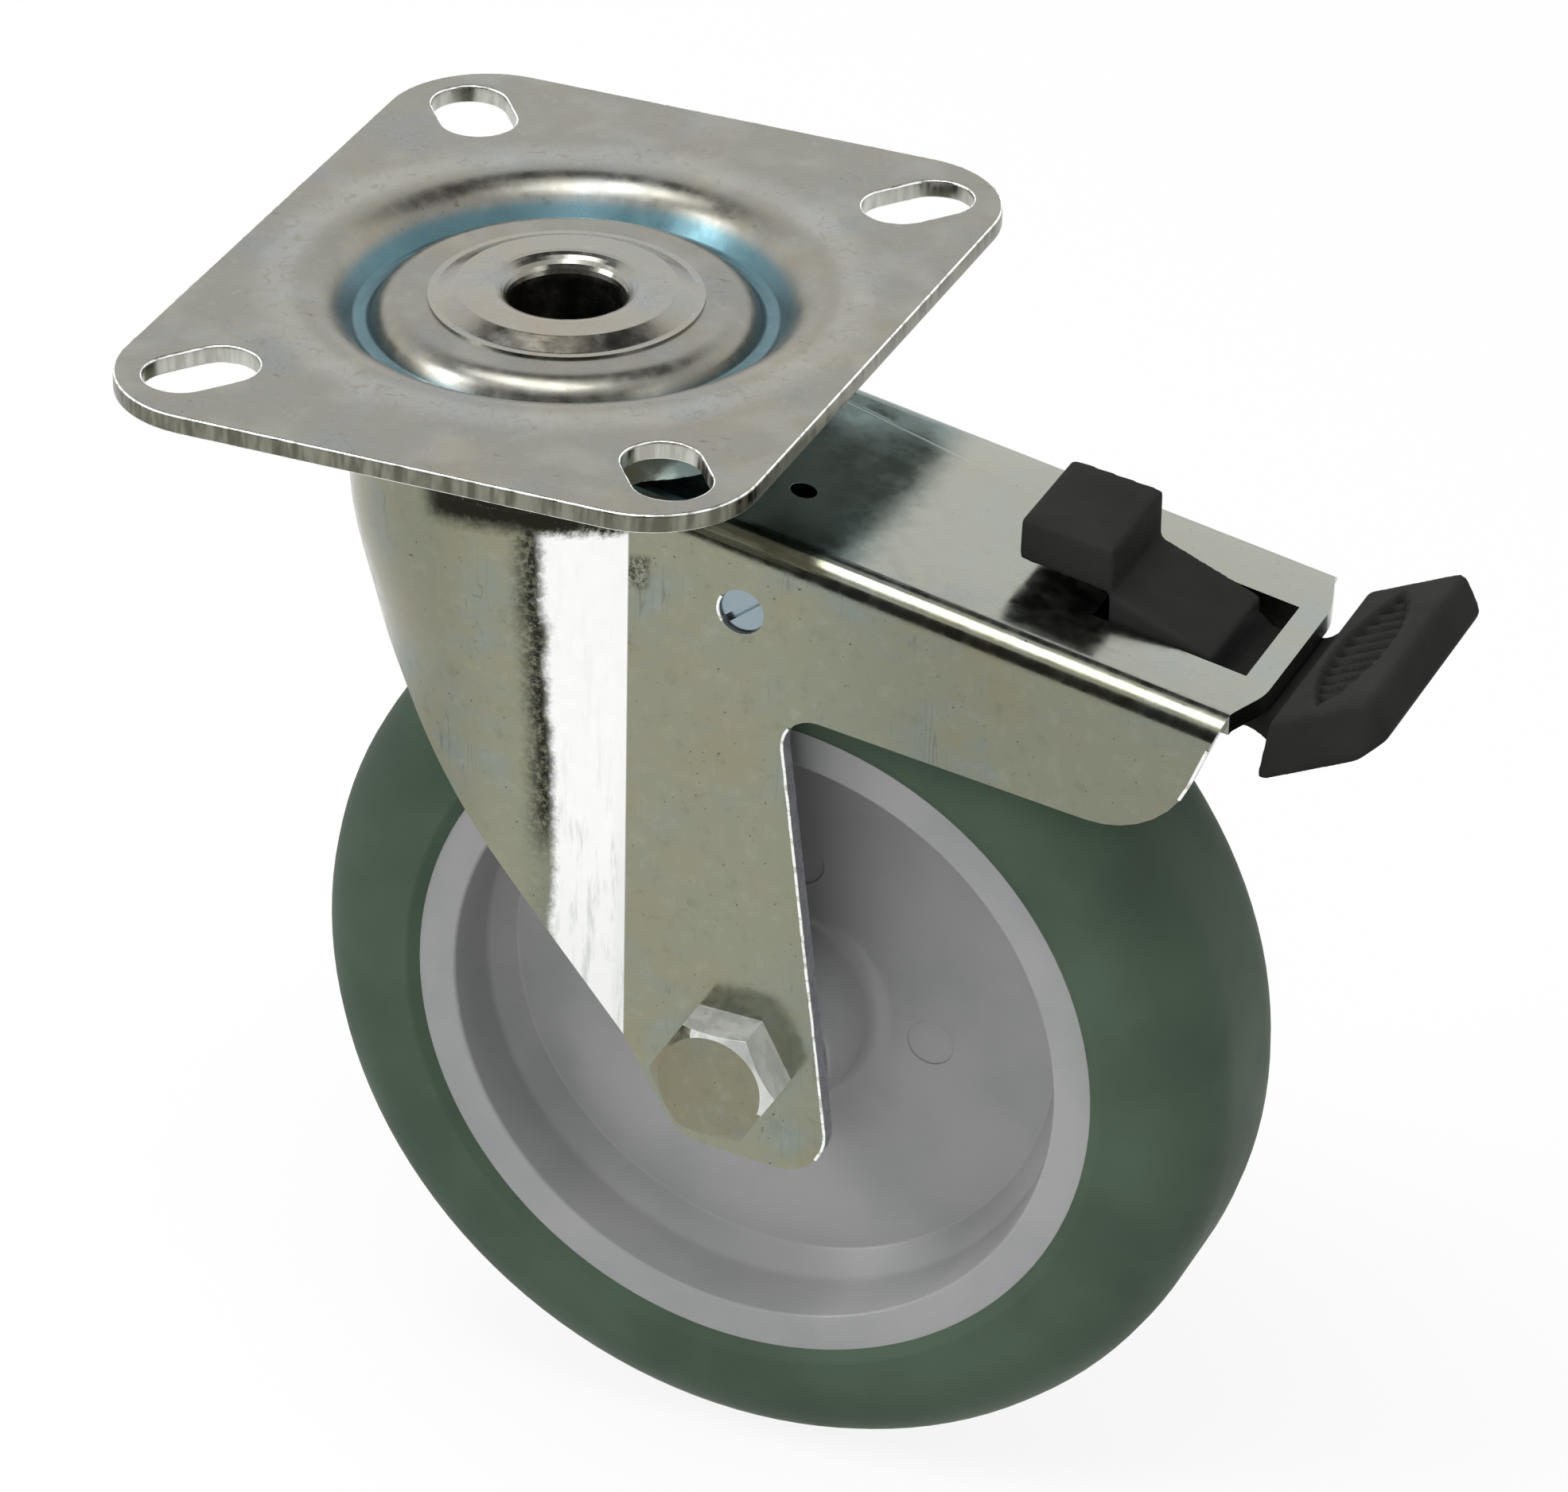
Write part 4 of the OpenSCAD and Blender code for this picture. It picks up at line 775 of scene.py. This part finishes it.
def bend(before, at, after, radius, steps=8):
    """Points that round one corner of a section."""
    if radius <= 0:
        return [at]
    u, v = (before - at).normalized(), (after - at).normalized()
    half = u.angle(v) / 2
    middle = at + (u + v).normalized() * radius / math.sin(half)
    first, last = at + u * radius / math.tan(half), at + v * radius / math.tan(half)
    a0 = math.atan2(first.y - middle.y, first.x - middle.x)
    a1 = math.atan2(last.y - middle.y, last.x - middle.x)
    turn = (a1 - a0 + math.pi) % (2 * math.pi) - math.pi
    return [middle + radius * Vector((math.cos(a0 + turn * i / steps), math.sin(a0 + turn * i / steps)))
            for i in range(steps + 1)]


def sheet_side(line, bends, shift):
    """One face of a bent sheet, at a distance to the left of its middle line."""
    ways = [(b - a).normalized() for a, b in zip(line, line[1:])]
    left = [Vector((-w.y, w.x)) for w in ways]
    moved, turns = [], []
    for i, point in enumerate(line):
        n0, n1 = left[max(i - 1, 0)], left[min(i, len(left) - 1)]
        moved.append(point + (n0 + n1) * shift / (1 + n0.dot(n1)))
        w0, w1 = ways[max(i - 1, 0)], ways[min(i, len(ways) - 1)]
        turns.append(w0.x * w1.y - w0.y * w1.x)
    points = []
    for i, point in enumerate(moved):
        if i in (0, len(moved) - 1):
            points.append(point)
        else:
            points += bend(moved[i - 1], point, moved[i + 1], bends[i] - shift * math.copysign(1, turns[i]))
    return points


middle_line = [Vector(p) * MM for p in (
    (10.85, -2.85), (22.2, -2.85), (24.2, -6.25), (27.2, -6.25), (31.2, -1.25), (35.6, -1.25))]
bend_radii = [r * MM for r in (0, 2.6, 2.2, 2.5, 4.5, 0)]
upper = sheet_side(middle_line, bend_radii, plate_t / 2)
under = sheet_side(middle_line, bend_radii, -plate_t / 2)
upper = [p for p in upper if p.x < dish_out] + [Vector((dish_out, 0.0))]
under = [p for p in under if p.x < dish_out] + [Vector((dish_out, -plate_t))]
print("points in the section:", len(upper) + len(under))

# %% [markdown]
# A dish pressed by a round punch is the same all round, so its section is turned about the Z axis. Its
# normals are recalculated, because the direction of the turn could leave them pointing in.

# %% Dish turned from its section


def turned(name, section, segments):
    """A closed section turned about the Z axis."""
    made = bmesh.new()
    rings = [[made.verts.new((p.x * math.cos(a), p.x * math.sin(a), p.y))
              for a in (2 * math.pi * i / segments for i in range(segments))] for p in section]
    for one, other in zip(rings, rings[1:] + rings[:1]):
        for i in range(segments):
            k = (i + 1) % segments
            made.faces.new((one[i], one[k], other[k], other[i]))
    bmesh.ops.recalc_face_normals(made, faces=made.faces)
    mesh = bpy.data.meshes.new(name)
    made.to_mesh(mesh)
    made.free()
    return mesh


dish_mesh = turned("dish", upper + under[::-1], 160)
print("dish faces:", len(dish_mesh.polygons))

# %% [markdown]
# Blank and dish become one object. Each face of the blank gets its finish by how steep it is: the flat
# faces are plate, the rolled rim takes the burr finish with its painted glint, and the upright walls are
# sheared zinc, brighter in the slots.

# %% Join blank and dish
plate_sheet = new_object("plate_sheet", plate_mesh)
work = bmesh.new()
work.from_mesh(plate_mesh)
work.from_mesh(dish_mesh)
smooth_under(work, 35)
work.to_mesh(plate_mesh)
work.free()
plate_finishes = [plate_zinc, wall_zinc, burr_zinc_painted_glint, slot_zinc]
plate_sheet.data.materials.clear()
for finish in plate_finishes:
    plate_sheet.data.materials.append(finish)
flat_over, upright_under = 0.97, 0.35
blank_from, slot_reach = dish_out + 0.01 * MM, slot_l / 2 + 0.1 * MM
for face in plate_sheet.data.polygons:
    flatness, x, y = abs(face.normal.z), abs(face.center.x), abs(face.center.y)
    if Vector((x, y)).length <= blank_from or flatness > flat_over:
        finish = plate_zinc
    elif flatness < upright_under:
        in_slot = Vector((x - slot_half.x, y - slot_half.y)).length < slot_reach
        finish = slot_zinc if in_slot else wall_zinc
    else:
        # the rolled rim takes the burr finish, with its painted glint
        finish = burr_zinc_painted_glint
    face.material_index = plate_finishes.index(finish)
stand_in(plate_sheet, "top_plate", "plate")
print("plate faces:", len(plate_sheet.data.polygons))

# %% [markdown]
# The punch also throws up a ragged burr along every edge it cuts; its near-white finish is a painted
# glint. It follows edges that the CAD node already has, so Geometry Nodes makes it, and one tree serves
# plate and fork. The tree first takes the sharp edges that lie at one level across an axis and face
# one way.

# %% Tree for a burr along cut edges: choose the edges
burr_inputs = {
    "Geometry": "Geometry", "Across": "Vector", "Level": "Float", "Towards": "Vector", "Least": "Float",
    "Depth": "Float", "Bead": "Float", "Shake": "Float", "Finish": "Material"}
level_within, sharp_over = 0.03 * MM, math.radians(60)
burr_tree = bpy.data.node_groups.new("burr_on_cut_edges", "GeometryNodeTree")
for name, kind in burr_inputs.items():
    burr_tree.interface.new_socket(name, in_out="INPUT", socket_type="NodeSocket" + kind)
burr_tree.interface.new_socket("Geometry", in_out="OUTPUT", socket_type="NodeSocketGeometry")
given = add(burr_tree, "NodeGroupInput").outputs
spot = add(burr_tree, "GeometryNodeInputPosition").outputs[0]
outward = add(burr_tree, "GeometryNodeInputNormal").outputs[0]
angle = add(burr_tree, "GeometryNodeInputMeshEdgeAngle").outputs["Unsigned Angle"]
height = add(burr_tree, VECTOR_MATH, DOT, (spot, given["Across"])).outputs["Value"]
off_level = add(burr_tree, MATH, MINUS, (add(burr_tree, MATH, UNSIGNED, (height,)), given["Level"]))
at_level = add(burr_tree, MATH, LESS_THAN, (add(burr_tree, MATH, UNSIGNED, (off_level,)), level_within))
is_sharp = add(burr_tree, MATH, MORE_THAN, (angle, sharp_over))
facing = add(burr_tree, VECTOR_MATH, DOT, (outward, given["Towards"])).outputs["Value"]
faces_it = add(burr_tree, MATH, MORE_THAN, (facing, given["Least"]))
kept = add(burr_tree, "GeometryNodeCaptureAttribute", {"domain": "EDGE"}, {"Geometry": given["Geometry"]})
kept.capture_items.new("FLOAT", "chosen")
feed(kept, {"chosen": together(burr_tree, at_level, is_sharp, faces_it)})
print("tree inputs:", list(burr_inputs))

# %% [markdown]
# Then it moves the chosen edges in a little, makes them a curve with even points, lets noise shake the
# points and sweeps a small circle along them. The noise reads only the place, so it needs no seed.
# Realize Instances and Set Material come last, because the export takes a plain mesh with its finish.

# %% Tree for a burr along cut edges: make the bead
point_spacing, shake_size, bead_sides = 0.5 * MM, 2.4 * MM, 6
inward = add(burr_tree, VECTOR_MATH, SCALED, {
    0: outward, "Scale": add(burr_tree, MATH, TIMES, (given["Depth"], -1.0))})
moved = add(burr_tree, "GeometryNodeSetPosition", None,
            {"Geometry": kept.outputs["Geometry"], "Offset": inward})
path = add(burr_tree, "GeometryNodeMeshToCurve", None,
           {"Mesh": moved, "Selection": kept.outputs["chosen"]})
even = add(burr_tree, "GeometryNodeResampleCurve", {"mode": "LENGTH"},
           {"Curve": path, "Length": point_spacing})
shaking = add(burr_tree, NOISE, None, {"Vector": spot, "Scale": 1 / shake_size, "Detail": 3.0})
centred = add(burr_tree, VECTOR_MATH, MINUS, (shaking.outputs["Color"], (0.5, 0.5, 0.5)))
push = add(burr_tree, VECTOR_MATH, SCALED, {0: centred, "Scale": given["Shake"]})
ragged = add(burr_tree, "GeometryNodeSetPosition", None, {"Geometry": even, "Offset": push})
section = add(burr_tree, "GeometryNodeCurvePrimitiveCircle", None,
              {"Resolution": bead_sides, "Radius": given["Bead"]})
bead = add(burr_tree, "GeometryNodeCurveToMesh", None, {"Curve": ragged, "Profile Curve": section})
real = add(burr_tree, "GeometryNodeRealizeInstances", None, {"Geometry": bead})
finished = add(burr_tree, "GeometryNodeSetMaterial", None, {"Geometry": real, "Material": given["Finish"]})
add(burr_tree, "NodeGroupOutput", None, {"Geometry": finished})
socket_of = {item.name: item.identifier for item in burr_tree.interface.items_tree
             if item.in_out == "INPUT"}
print("nodes in the tree:", len(burr_tree.nodes))

# %% [markdown]
# The plate's burr runs along its top face, at level 0 across Z. The fork's runs along the outer faces of
# both legs, at 22 mm across Y, and only where the cut faces the rear, because light catches it there.
# There it is a painted highlight of that light.

# %% Burrs of plate and fork
burr_shake = 0.16 * MM


def burr_piece(node, name, body, across, level, towards, least, depth, bead):
    """A burr along the sharp edges of a CAD node that lie at a level across an axis."""
    made = smooth_copy(node, name, 60)
    step = made.modifiers.new("burr", "NODES")
    step.node_group = burr_tree
    for key, value in {"Across": across, "Level": level, "Towards": towards, "Least": least,
                       "Depth": depth, "Bead": bead, "Shake": burr_shake, "Finish": burr_zinc_painted_glint}.items():
        step[socket_of[key]] = value
    bake(made)
    for face in made.data.polygons:
        face.use_smooth = True
    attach(made, body)
    return made


plate_burr = burr_piece(
    "top_plate", "plate_burr", "plate", across=(0.0, 0.0, 1.0), level=0.0,
    towards=(0.0, 0.0, 1.0), least=0.1, depth=0.24 * MM, bead=0.14 * MM)
# painted highlight: the fork's bright bead lies only where the cut faces the rear and catches the light
fork_burr_glint = burr_piece(
    "fork", "fork_burr_glint", "fork", across=(0.0, 1.0, 0.0), level=leg_y,
    towards=(1.0, 0.0, 0.0), least=0.58, depth=0.16 * MM, bead=0.25 * MM)
print("burr faces:", len(plate_burr.data.polygons), len(fork_burr_glint.data.polygons))
